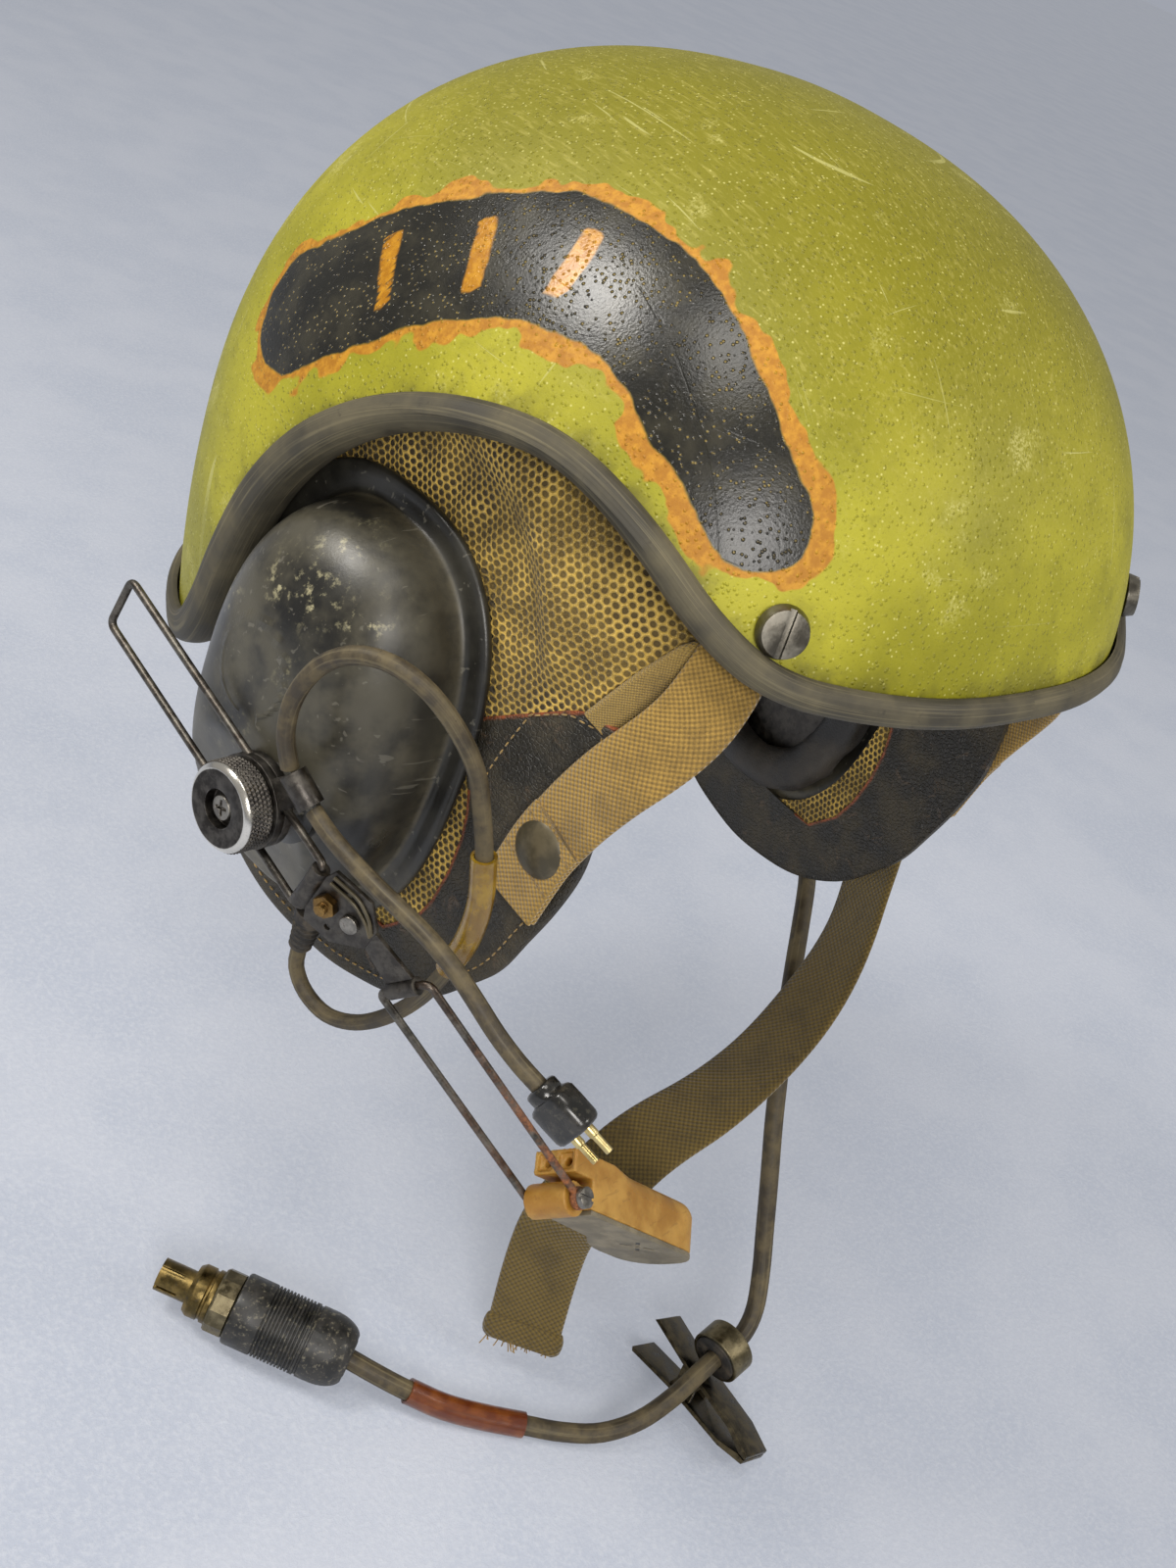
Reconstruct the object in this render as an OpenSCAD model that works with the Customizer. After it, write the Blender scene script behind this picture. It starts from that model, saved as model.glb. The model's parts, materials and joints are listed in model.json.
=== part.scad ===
// Tank crew helmet with ear cups, wire boom microphone and a plug lead.
// The origin is the centre of the head. The face looks along -Y, the wearer's right is -X, up is +Z.
// Sizes are millimetres.

/* [Shell] */
// Half of the shell's length, front to back
shell_half_len = 131; // [122:1:140]
// Half of the shell's width
shell_half_w = 119.5; // [114:1:126]
// Height of the crown above the head's centre
shell_h = 132.5; // [124:1:142]
// Thickness of the moulded shell
shell_t = 5; // [4:0.5:6]
// Height of the shell's edge over the brow
brow_z = 32.5; // [28:0.5:36]
// Height of the top of the ear cut-out
ear_arch_z = 58; // [54:1:62]
// Height of the shell's edge at the nape
nape_z = -65; // [-70:1:-58]
// Thickness of the rubber edge trim's lips
trim_t = 3; // [2:0.5:4]
// Depth of the edge trim over the shell's edge
trim_lip = 6; // [5:0.5:9]
// Diameter of the slotted shell screws
shell_screw_d = 12.6; // [10:0.2:14]

/* [Liner] */
// Space between the shell and the mesh cap
liner_gap = 7; // [6:0.5:9]
// Thickness of the mesh cap
liner_t = 2; // [1.5:0.5:3]
// Thickness of the foam pads
pad_t = 10; // [7:0.5:12]
// Thickness of the leather ear surround
leather_t = 2.4; // [1.6:0.2:3]
// Thickness of the webbing
web_t = 1.8; // [1.4:0.1:2.2]
// Width of the front straps
strap_w = 19; // [17:1:21]
// Width of the chin strap
chin_w = 25; // [22:1:27]
// Diameter of the snap caps
snap_d = 15.2; // [13:0.2:16]

/* [Ear cups] */
// Distance of the ear cup's flange from the middle of the head
cup_x = 106.6; // [105:0.2:108]
// Turn of the ear cups towards the face, in degrees
cup_yaw = 6; // [4:0.5:8]
// Half of the ear cup flange's width
cup_half_w = 46; // [44:0.5:47]
// Half of the ear cup flange's height
cup_half_h = 62.5; // [60:0.5:64]
// Depth of the ear cup's dome over the flange
cup_depth = 28; // [26:0.5:30]
// Wall of the ear cups
cup_wall = 2.8; // [2:0.2:3.2]
// Thickness of the ear seal cushions
seal_t = 13; // [10:0.5:16]
// Diameter of the earphone
phone_d = 42; // [38:1:46]

/* [Boom] */
// Diameter of the boom's wires
wire_d = 2.2; // [1.8:0.1:2.4]
// Distance between the two legs of a wire loop
loop_gap = 16.5; // [16:0.5:18]
// Length of the upper wire loop
loop_len = 94; // [90:1:100]
// Length of the lower wire loop
arm_len = 78; // [70:1:86]
// Diameter of the pivot stud
stud_d = 6; // [5:0.5:7]
// Diameter of the thumb nut
nut_d = 23.2; // [21:0.2:25]
// Thickness of the thumb nut
nut_t = 8.2; // [7:0.2:9]
// Thickness of each clamp plate
clamp_t = 2.5; // [2.2:0.1:2.8]
// Length of the bracket plate
bracket_len = 20; // [19:0.5:22]
// Length of the elbow between its two pivots
elbow_len = 23; // [21:0.5:25]

/* [Microphone] */
// Length of the microphone from its swivel to its tip
mic_len = 62; // [56:1:66]
// Width of the microphone
mic_w = 23; // [21:0.5:25]
// Thickness of the microphone
mic_t = 16; // [14:0.5:17]
// Diameter of the swivel barrel
barrel_d = 9.5; // [8.5:0.1:10]
// Diameter of the socket holes
socket_d = 2.4; // [2:0.1:2.6]

/* [Leads] */
// Diameter of the microphone lead
mic_cord_d = 4.5; // [4:0.1:5]
// Diameter of the main lead
cord_d = 6.4; // [6:0.1:7]
// Diameter of the plug's ribbed body
plug_d = 23; // [21:0.5:24]
// Diameter of the plug's keyed nose
nose_d = 10.5; // [9.5:0.1:11]
// Length of the plug's keyed nose
nose_len = 11; // [9:0.5:12]
// Length of the clothing clip's levers
clip_len = 54; // [50:1:58]
// Width of the clothing clip
clip_w = 15; // [13:0.5:17]

/* [Hidden] */

// Clearance between parts that touch or run on each other
gap = 0.3;
run_gap = 0.05;

// Exponents of the shell's plan and of its side view
plan_n = 2.44;
rise_n = 2.2;
// How far the shell's wall draws in below the head's centre, per (100 mm) squared
draw_in = 0.11;

// Edge of the shell on the right side, as [angle from the face, height]
edge_knots = [[-12, brow_z], [0, brow_z], [12, brow_z], [24, brow_z], [35, brow_z],
    [43, brow_z * 0.72 + ear_arch_z * 0.28], [53, brow_z * 0.2 + ear_arch_z * 0.8],
    [64, ear_arch_z + 1], [75, ear_arch_z - 3], [86, ear_arch_z - 13], [95.5, ear_arch_z - 29],
    [102.6, ear_arch_z - 52], [106.8, ear_arch_z - 78], [110.4, ear_arch_z - 102],
    [117, nape_z + 3], [130, nape_z], [146, nape_z], [163, nape_z], [180, nape_z],
    [197, nape_z]];
edge_steps = 2;

// Colours
olive = [0.52, 0.53, 0.16];
rubber_grey = [0.2, 0.19, 0.17];
khaki = [0.47, 0.38, 0.18];
leather_black = [0.1, 0.1, 0.1];
cup_black = [0.14, 0.14, 0.14];
steel = [0.3, 0.29, 0.27];
lead_brown = [0.24, 0.2, 0.15];
amber = [0.7, 0.5, 0.12];
ochre = [0.68, 0.45, 0.13];
brass = [0.6, 0.48, 0.25];

// Vector helpers
function unit(v) = v / norm(v);
function eased(knots, steps) = let (n = len(knots)) concat([knots[0]], smoothed(knots, steps),
    [(knots[n - 2] + knots[n - 1]) / 2, knots[n - 1]]);
function smooth(knots, i, t) = let (a = (knots[i - 1] + knots[i]) / 2, b = (knots[i] + knots[i + 1]) / 2)
    a * pow(1 - t, 2) + knots[i] * 2 * t * (1 - t) + b * pow(t, 2);
function smoothed(knots, steps) = [for (i = [1:len(knots) - 2]) for (s = [0:steps - 1])
    smooth(knots, i, s / steps)];
function mirrored(p) = [-p[0], p[1], p[2]];

// Skin of triangles over rings that all have the same number of points
module skin(rings, closed = false) {
    n = len(rings[0]);
    m = len(rings);
    side = [for (r = [0:(closed ? m - 1 : m - 2)]) for (k = [0:n - 1])
        let (a = r * n + k, b = r * n + (k + 1) % n, c = ((r + 1) % m) * n + (k + 1) % n,
            d = ((r + 1) % m) * n + k)
        each [[a, b, c], [a, c, d]]];
    ends = closed ? [] : concat([for (k = [1:n - 2]) [0, k + 1, k]],
        [for (k = [1:n - 2]) [(m - 1) * n, (m - 1) * n + k, (m - 1) * n + k + 1]]);
    polyhedron(points = [for (r = rings) each r], faces = concat(side, ends));
}

// Shell surface: a point at angle th from the face and at rise phi, moved out by off
function plan_r(th, off) = pow(pow(abs(sin(th)) / (shell_half_w + off), plan_n)
    + pow(abs(cos(th)) / (shell_half_len + off), plan_n), -1 / plan_n);
function rise_of(z, off) = z >= 0 ? asin(pow(min(z / (shell_h + off), 1), rise_n / 2))
    : z / (shell_h + off) * 180 / PI;
function dome(th, phi, off) = let (h = shell_h + off,
    z = phi >= 0 ? h * pow(sin(phi), 2 / rise_n) : h * phi * PI / 180,
    share = phi >= 0 ? pow(max(cos(phi), 0), 2 / rise_n) : 1 - draw_in * pow(z / 100, 2),
    r = plan_r(th, off) * share)
    [-r * sin(th), -r * cos(th), z];
function dome_z(th, z, off) = dome(th, rise_of(z, off), off);
function onto(p, off) = dome_z(atan2(-p[0], -p[1]), p[2], off);
function dome_normal(th, z) = let (d = 0.5)
    unit(cross(dome_z(th, z + d, 0) - dome_z(th, z - d, 0), dome_z(th + d, z, 0) - dome_z(th - d, z, 0)));

// Whole edge, from the face round the right side, the nape and the left side
half_edge = [for (p = smoothed(edge_knots, edge_steps)) if (p[0] > 0.01 && p[0] < 179.99) p];
full_edge = concat([[0, brow_z]], half_edge, [[180, nape_z]],
    [for (i = [len(half_edge) - 1:-1:0]) [360 - half_edge[i][0], half_edge[i][1]]]);
function rim_height(th, rim) = let (a = th > 180 ? 360 - th : th)
    lookup(a, concat([[0, rim[0][1]]], rim, [[180, rim[len(rim) - 1][1]]]));

// Closed thin bowl between two offsets of the shell surface, above a rim of [angle, height]
module bowl(rim, off, t, rows) {
    n = len(rim);
    outer = [for (r = [0:rows - 1]) [for (p = rim) let (a = rise_of(p[1], off))
        dome(p[0], a + (90 - a) * r / rows, off)]];
    inner = [for (r = [0:rows - 1]) [for (p = rim) let (a = rise_of(p[1], off - t))
        dome(p[0], a + (90 - a) * r / rows, off - t)]];
    top = 2 * rows * n;
    function at(layer, r, k) = (layer * rows + r) * n + k % n;
    polyhedron(
        points = concat([for (r = outer) each r], [for (r = inner) each r],
            [[0, 0, shell_h + off], [0, 0, shell_h + off - t]]),
        faces = concat(
            [for (r = [0:rows - 2]) for (k = [0:n - 1]) each [
                [at(0, r, k), at(0, r, k + 1), at(0, r + 1, k + 1)],
                [at(0, r, k), at(0, r + 1, k + 1), at(0, r + 1, k)],
                [at(1, r, k), at(1, r + 1, k + 1), at(1, r, k + 1)],
                [at(1, r, k), at(1, r + 1, k), at(1, r + 1, k + 1)]]],
            [for (k = [0:n - 1]) each [
                [at(0, rows - 1, k), at(0, rows - 1, k + 1), top],
                [at(1, rows - 1, k + 1), at(1, rows - 1, k), top + 1],
                [at(0, 0, k + 1), at(0, 0, k), at(1, 0, k)],
                [at(0, 0, k + 1), at(1, 0, k), at(1, 0, k + 1)]]]));
}

module shell() {
    color(olive) difference() {
        bowl(full_edge, 0, shell_t, 9);
        for (s = screw_places) at_screw(s) cylinder(h = 4 * shell_t, d = post_d + 2 * gap,
            center = true, $fn = 24);
    }
}

// Section of the edge trim at one station of the edge
trim_under = 3;
trim_gap = 0.75;
function trim_ring(i) = let (n = len(full_edge), e = full_edge[i],
    p = dome_z(e[0], e[1], -shell_t / 2),
    q0 = full_edge[(i + n - 1) % n], q1 = full_edge[(i + 1) % n],
    along = unit(dome_z(q1[0], q1[1], 0) - dome_z(q0[0], q0[1], 0)),
    out = dome_normal(e[0], e[1]),
    up = unit(cross(along, out)),
    low = -trim_under, lip = trim_lip, o = trim_gap + trim_t, mid = shell_t / 2)
    [onto(p + up * lip, trim_gap), onto(p + up * (lip - 0.5), o - 0.8), onto(p + up * lip * 0.45, o),
     p + up * (low * 0.35) + out * (mid + o), p + up * low + out * (mid * 0.7),
     p + up * low - out * (mid * 0.7), p + up * (low * 0.35) - out * (mid + o - 1),
     onto(p + up * lip * 0.45, -shell_t - o + 1), onto(p + up * lip, -shell_t - o + 1.6),
     onto(p + up * lip, -shell_t - trim_gap), onto(p - up * trim_gap, -shell_t - trim_gap),
     onto(p - up * trim_gap, trim_gap)];

module edge_trim() {
    color(rubber_grey) skin([for (i = [0:len(full_edge) - 1]) trim_ring(i)], closed = true);
}

// Screws through the shell, with the posts that hold the liner inside
post_d = 6.4;
post_len = 8;
head_t = 3.2;
screw_places = [[36, 46.2], [-36, 46.2], [152, -28], [-152, -28]];
module at_screw(s) {
    p = dome_z(s[0], s[1], 0);
    n = dome_normal(s[0], s[1]);
    translate(p) rotate([0, acos(n[2]), atan2(n[1], n[0])]) children();
}
module shell_screws() {
    color(steel) for (s = screw_places) at_screw(s) difference() {
        union() {
            translate([0, 0, 0.9]) cylinder(h = head_t, d1 = shell_screw_d, d2 = shell_screw_d * 0.86, $fn = 40);
            translate([0, 0, -shell_t - post_len]) cylinder(h = shell_t + post_len + 0.9, d = 4, $fn = 24);
        }
        translate([0, 0, head_t + 0.9]) cube([shell_screw_d + 2, 1.6, 2.4], center = true);
    }
}
module liner_posts() {
    color(steel) for (s = screw_places) at_screw(s) difference() {
        translate([0, 0, -shell_t - post_len]) cylinder(h = post_len + shell_t - 0.5, d = post_d, $fn = 24);
        cylinder(h = 60, d = 4 + 2 * run_gap, center = true, $fn = 24);
    }
}

// Frames: the ear cup lies in a plane of its own, +x to the front, +y up, +z away from the head
cup_y = -7;
cup_z = -38;
module at_cup() {
    translate([-cup_x, cup_y, cup_z]) rotate([90, 0, -90 + cup_yaw]) children();
}
module each_side(side) {
    mirror([side > 0 ? 0 : 1, 0, 0]) at_cup() children();
}
cup_n = 2.5;
function oval(a, hw, hh) = let (c = cos(a), s = sin(a),
    r = pow(pow(abs(c) / hw, cup_n) + pow(abs(s) / hh, cup_n), -1 / cup_n)) [r * c, r * s];
module oval_plate(hw, hh, t, sides = 48) {
    linear_extrude(t) polygon([for (k = [0:sides - 1]) oval(360 * k / sides, hw, hh)]);
}

// Mesh cap inside the shell, cut round the ear cups
liner_off = -shell_t - liner_gap;
liner_knots = [[-12, brow_z + 4], [0, brow_z + 4], [12, brow_z + 4], [24, brow_z + 3],
    [34, brow_z + 1], [42, brow_z - 4], [45, 19], [47, 11], [49, 2], [53, -9], [60, -15], [72, -20],
    [90, -26], [108, -30],
    [122, -42], [140, nape_z + 14], [160, nape_z + 12], [180, nape_z + 12], [200, nape_z + 12]];
half_liner = [for (p = smoothed(liner_knots, 2)) if (p[0] > 0.01 && p[0] < 179.99) p];
full_liner = concat([[0, brow_z + 4]], half_liner, [[180, nape_z + 12]],
    [for (i = [len(half_liner) - 1:-1:0]) [360 - half_liner[i][0], half_liner[i][1]]]);
module liner_cap() {
    color(khaki) difference() {
        bowl(full_liner, liner_off, liner_t, 7);
        for (side = [1, -1]) each_side(side) translate([0, 0, -40])
            oval_plate(cup_half_w + 1.5, cup_half_h + 1.5, 60);
        for (side = [1, -1]) each_side(side) translate([0, 0, -40]) linear_extrude(60)
            polygon([for (q = leather_path) q * 1.03]);
        for (s = screw_places) at_screw(s)
            cylinder(h = 80, d = post_d + 7, center = true, $fn = 24);
    }
}

// Binding tape round the front edge of the mesh, down to the leather
function band(points, outs, w, t) = [for (i = [0:len(points) - 1])
    let (p = points[i], o = unit(outs[i]),
        along = unit(points[min(i + 1, len(points) - 1)] - points[max(i - 1, 0)]),
        s = unit(cross(along, o)), n = cross(s, along))
    [p + s * w / 2 + n * t / 2, p - s * w / 2 + n * t / 2, p - s * w / 2 - n * t / 2,
     p + s * w / 2 - n * t / 2]];
binding_w = 9;
binding_t = 2;
module liner_binding() {
    th = [for (a = [47.4:-0.8:44.2]) a];
    color(khaki) for (side = [1, -1]) mirror([side > 0 ? 0 : 1, 0, 0])
        skin(band(
            [for (a = th) let (q = lookup(a, liner_knots)) dome_z(a, q, liner_off + binding_t / 2 + gap)],
            [for (a = th) dome_normal(a, max(lookup(a, liner_knots), 1))], binding_w, binding_t));
}

// Foam pads between the mesh cap and the head: brow, crown and nape
pad_gap = 1.4;
function pad_ring(a0, a1, z0, z1, steps, bulge) = [for (k = [0:steps])
    let (th = a0 + (a1 - a0) * k / steps, off = liner_off - liner_t - pad_gap,
        edge = 0.35 + 0.65 * pow(sin(180 * (k + 0.35) / (steps + 0.7)), 0.4),
        zm = (z0 + z1) / 2)
    [dome_z(th, z0 + 3, off - pad_t * 0.7 * edge), dome_z(th, zm, off - pad_t * edge * bulge),
     dome_z(th, z1 - 3, off - pad_t * 0.7 * edge), dome_z(th, z1, off), dome_z(th, zm, off),
     dome_z(th, z0, off)]];
module brow_pad() {
    color(leather_black) skin([for (r = pad_ring(-30, 30, brow_z + 10, brow_z + 38, 12, 1)) r]);
}
module nape_pad() {
    color(leather_black) skin([for (r = pad_ring(155, 205, -34, 2, 10, 1)) r]);
}
module crown_pad() {
    top = shell_h + liner_off - liner_t - pad_gap;
    color(leather_black) intersection() {
        bowl([for (a = [0:12:348]) [a, top * 0.6]], liner_off - liner_t - pad_gap * 1.4, pad_t, 6);
        translate([0, 0, top - 20]) linear_extrude(40)
            polygon([for (k = [0:31]) let (a = 360 * k / 32) [42 * cos(a), 55 * sin(a)]]);
    }
}

// Leather that surrounds the ear cup in front and below, in the cup's plane
leather_z = -10.5;
leather_path = [[28, 12], [40.3, 20.4], [54, 31.5], [67.2, 41.7], [73.5, 43.5], [79.1, 44.6], [81.2, 38],
    [83.6, 27], [85.5, 14.5], [85.9, 4], [83.5, -9.9], [80.1, -22.5], [76.3, -35], [70.7, -44.6],
    [59, -60], [40, -72], [12, -78], [-18, -74], [-38, -60], [-48, -42], [-52, -24], [-46, -20],
    [-30, -30]];
module leather(side) {
    color(leather_black) each_side(side) translate([0, 0, leather_z]) difference() {
        linear_extrude(leather_t) polygon(leather_path);
        translate([0, 0, -1]) oval_plate(cup_half_w - 3, cup_half_h - 3, leather_t + 2);
    }
}
module ear_surround_right() { leather(1); }
module ear_surround_left() { leather(-1); }

// Front strap: from the front shell screw, inside the brow's edge, down and back to the snap
snap_at = [75.2, 6.4];
strap_route = [[89.5, 90.0, -30.2], [90.7, 84.2, -28.5], [91.5, 78.5, -26.8], [91.5, 73.0, -24.8], [91.4, 68.8, -23.1], [92.3, 64.4, -20.2],
    [93.2, 57.2, -15.5], [91.7, 49.9, -12], [89.1, 43, -9], [85.2, 34.8, -7], [80.4, 23.3, -6.6],
    [77.4, 14.2, -6.5], [75, 6.1, -6.4], [72.4, -11.8, -6.4]];
strap_outs = [for (i = [0:len(strap_route) - 1]) let (t = min(max((i - 4) / 6, 0), 1))
    unit([0.69, 0.17, 0.7] * (1 - t) + [0, 0, 1] * t)];
module strap(side) {
    color(khaki) difference() {
        each_side(side) skin(band(eased(strap_route, 2), eased(strap_outs, 2), strap_w, web_t));
        at_screw(screw_places[side > 0 ? 0 : 1]) cylinder(h = 80, d = post_d + 2 * gap, center = true, $fn = 24);
    }
}
module front_strap_right() { strap(1); }
module front_strap_left() { strap(-1); }
module strap_snaps() {
    color(steel) for (side = [1, -1]) each_side(side) translate([snap_at[0], snap_at[1], -5.1]) {
        intersection() {
            cylinder(h = 3, d = snap_d, $fn = 40);
            translate([0, 0, 2.6 - snap_d * 0.9]) sphere(r = snap_d * 0.9, $fn = 48);
        }
    }
}

// Chin strap: from the left snap, under the chin, to a free tail in front of the neck
chin_route = [[99, -62, -62], [97, -70, -88], [86, -82, -113], [61, -91, -137], [31, -95, -153],
    [3, -94, -163], [-11, -95, -175], [-16, -92.5, -188], [-16, -91, -202], [-16.5, -92.5, -213],
    [-17.1, -94.6, -223], [-17.7, -96.9, -232], [-18.2, -98.8, -239]];
chin_outs = [[1, -0.3, 0.2], [1, -0.3, 0], [0.8, -0.45, -0.4], [0.5, -0.3, -0.8], [0.25, -0.15, -1],
    [0.1, 0, -1], [0.5, 0.25, -0.7], [0.8, 0.5, -0.3], [0.84, 0.53, 0], [0.83, 0.53, -0.15],
    [0.83, 0.53, -0.17], [0.83, 0.53, -0.17], [0.83, 0.53, -0.17]];
chin_tip_len = 9;
module chin_strap() {
    color(khaki) skin(band(eased(chin_route, 3), eased(chin_outs, 3), chin_w, web_t));
}
module chin_strap_tip() {
    e = chin_route[len(chin_route) - 1];
    o = chin_outs[len(chin_outs) - 1];
    d = unit(e - chin_route[len(chin_route) - 2]);
    color(khaki) skin(band([e + d * 0.1, e + d * chin_tip_len], [o, o], chin_w + 0.6, web_t * 2));
}

// Ear cup: flange with a rounded edge, deep dome with a flat lower front, hollow behind
flange_t = 3;
flange_w = -7.5;
dome_fore = 2;
step_w = 9.5;
lower_step = 7.5;
flat_top = -11;
flat_slope = 0.4;
function flat_limit(y, depth) = y < flat_top ? depth - 1.6 - (flat_top - y) * flat_slope : depth + 1;
function cup_ring(hw, hh, z, depth, sides, fore) = [for (k = [sides - 1:-1:0])
    let (p = oval(360 * k / sides, hw, hh)) [p[0] + fore, p[1], min(z, flat_limit(p[1], depth))]];
dome_angles = [12, 26, 40, 54, 68, 80];
module cup(side) {
    sides = 32;
    dw = cup_half_w - step_w;
    dh = cup_half_h - lower_step;
    base = flange_w + flange_t;
    outer = [for (a = dome_angles) cup_ring(dw * pow(cos(a), 0.8), dh * pow(cos(a), 0.8),
        base + (cup_depth - base) * pow(sin(a), 0.75), cup_depth, sides, dome_fore)];
    iw = dw - cup_wall;
    ih = dh - cup_wall;
    id = cup_depth - cup_wall;
    inner = [for (i = [len(dome_angles) - 1:-1:0]) let (a = dome_angles[i])
        cup_ring(iw * pow(cos(a), 0.8), ih * pow(cos(a), 0.8),
            base + (id - base) * pow(sin(a), 0.75), id, sides, dome_fore)];
    rings = concat(inner,
        [cup_ring(iw, ih, flange_w, id, sides, dome_fore), cup_ring(cup_half_w, cup_half_h, flange_w, 99, sides, 0),
         cup_ring(cup_half_w, cup_half_h, base - 0.9, 99, sides, 0),
         cup_ring(cup_half_w - 1, cup_half_h - 1, base, 99, sides, 0),
         cup_ring(dw + 1.2, dh + 1.2, base, 99, sides, dome_fore),
         cup_ring(dw, dh, base + 1.4, 99, sides, dome_fore)],
        outer);
    color(cup_black) each_side(side) difference() {
        union() {
            skin(rings);
            if (side > 0) translate([stud_at[0], stud_at[1], boss_foot])
                cylinder(h = boss_top - boss_foot, d = boss_d, $fn = 40);
        }
        if (side > 0) translate([stud_at[0], stud_at[1], 0])
            cylinder(h = 60, d = stud_d + 2 * run_gap, $fn = 32);
    }
}
module ear_cup_right() { cup(1); }
module ear_cup_left() { cup(-1); }

// Ear seal: a D-shaped cushion ring on the back of the flange
seal_sides = 28;
module seal(side) {
    color(leather_black) each_side(side) translate([0, 0, flange_w]) skin([for (k = [0:seal_sides - 1])
        let (a = 360 * k / seal_sides, o = oval(a, cup_half_w - 6, cup_half_h - 6),
            i = oval(a, cup_half_w - 22, cup_half_h - 22), m = (o + i) / 2, d = seal_t)
        [[i[0], i[1], -gap], [i[0] * 0.97, i[1] * 0.98, -d * 0.4], [i[0], i[1], -d * 0.75],
         [m[0], m[1], -d], [o[0] * 0.99, o[1] * 0.99, -d * 0.8], [o[0] * 1.03, o[1] * 1.02, -d * 0.4],
         [o[0], o[1], -gap]]],
        closed = true);
}
module ear_seal_right() { seal(1); }
module ear_seal_left() { seal(-1); }

// Earphone: a disc with a grille, on the baffle that closes the back of the cup
module earphone(side) {
    iw = cup_half_w - step_w - cup_wall - 3 * gap;
    ih = cup_half_h - lower_step - cup_wall - 3 * gap;
    color(steel) each_side(side) translate([dome_fore, 6, flange_w + 0.1]) difference() {
        union() {
            cylinder(h = 9, d = phone_d, $fn = 48);
            translate([0, 0, 9]) cylinder(h = 3, d = phone_d * 0.55, $fn = 40);
            translate([0, -6, 0.6]) oval_plate(iw, ih, 1.6);
        }
        for (r = [[0, 1], [6, 6], [12, 12]]) for (k = [0:r[1] - 1])
            rotate(360 * k / r[1]) translate([r[0], 0, -1]) cylinder(h = 2.5, d = 2.6, $fn = 16);
    }
}
module earphone_right() { earphone(1); }
module earphone_left() { earphone(-1); }

// Sweep of a round tube along a route
function tangents(p) = [for (i = [0:len(p) - 1])
    unit(p[min(i + 1, len(p) - 1)] - p[max(i - 1, 0)])];
function carried(ts, seed, i = 0, u = []) = i == len(ts) ? u
    : let (prev = i == 0 ? seed : u[i - 1], v = prev - (prev * ts[i]) * ts[i])
    carried(ts, seed, i + 1, concat(u, [unit(v)]));
function hoops(path, d, sides) = let (ts = tangents(path), us = carried(ts, [0.3, 1, 0.2]))
    [for (i = [0:len(path) - 1]) let (v = cross(ts[i], us[i]))
        [for (k = [sides - 1:-1:0]) let (a = 360 * k / sides)
            path[i] + (us[i] * cos(a) + v * sin(a)) * d / 2]];
module tube(path, d, sides) {
    skin(hoops(path, d, sides));
}
module hose(path, d, bore, sides) {
    inner = hoops(path, bore, sides);
    skin(concat(hoops(path, d, sides), [for (i = [len(path) - 1:-1:0]) inner[i]]), closed = true);
}

// Microphone lead: out of the right cup, up in a loop over it, through the clip, then free
mic_gland_at = [22, -56, 3];
mic_loop_route = [[22, -69, 3], [23, -76, 2.5], [28, -82, 1], [37, -83, 0], [47, -77, -0.5], [56, -66, -0.5],
    [63.5, -52, 0], [68.3, -37, 1], [71.3, -24, 2.6], [72, -10, 5], [70, 4, 8.3], [67.3, 17, 12.6],
    [65, 28, 17.3], [61.3, 38.5, 24.5], [55.3, 46.8, 32], [47.5, 49.8, 37.7], [39, 46.8, 40.7],
    [31.6, 38.8, 41.6], [27.4, 27.6, 41.6], [27.2, 16.8, 40.5], [30.2, 8.4, 38.8]];
sleeve_range = [7, 10];
mic_run_route = [[39.4, 1.8, 36.4], [46, -0.4, 36], [55, -1.8, 35.5], [64, -2.6, 34.9], [73, -3.3, 34],
    [82, -4.8, 32.6], [90, -8, 30.6], [97, -12.4, 28.4], [104, -17, 26.2], [111, -20.6, 24],
    [117.5, -22.8, 22.2]];
module mic_lead_gland() {
    color(rubber_grey) at_cup() translate(mic_gland_at) rotate([90, 0, 0]) difference() {
        union() {
            translate([0, 0, -0.5]) cylinder(h = 3, d = 9, $fn = 32);
            translate([0, 0, 2.4]) cylinder(h = 10.4, d1 = 8, d2 = 6.2, $fn = 32);
        }
        translate([0, 0, 11]) cylinder(h = 9, d = mic_cord_d + 2 * run_gap, $fn = 24);
    }
}
module mic_lead_loop() {
    color(lead_brown) at_cup() tube(mic_loop_route, mic_cord_d, 8);
}
module mic_lead_sleeve() {
    part = [for (i = [sleeve_range[0]:sleeve_range[1]]) mic_loop_route[i]];
    color(amber) at_cup() hose(part, 6.6, mic_cord_d + 0.6, 10);
}
module mic_lead_run() {
    color(lead_brown) at_cup() tube(mic_run_route, mic_cord_d, 8);
}

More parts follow.
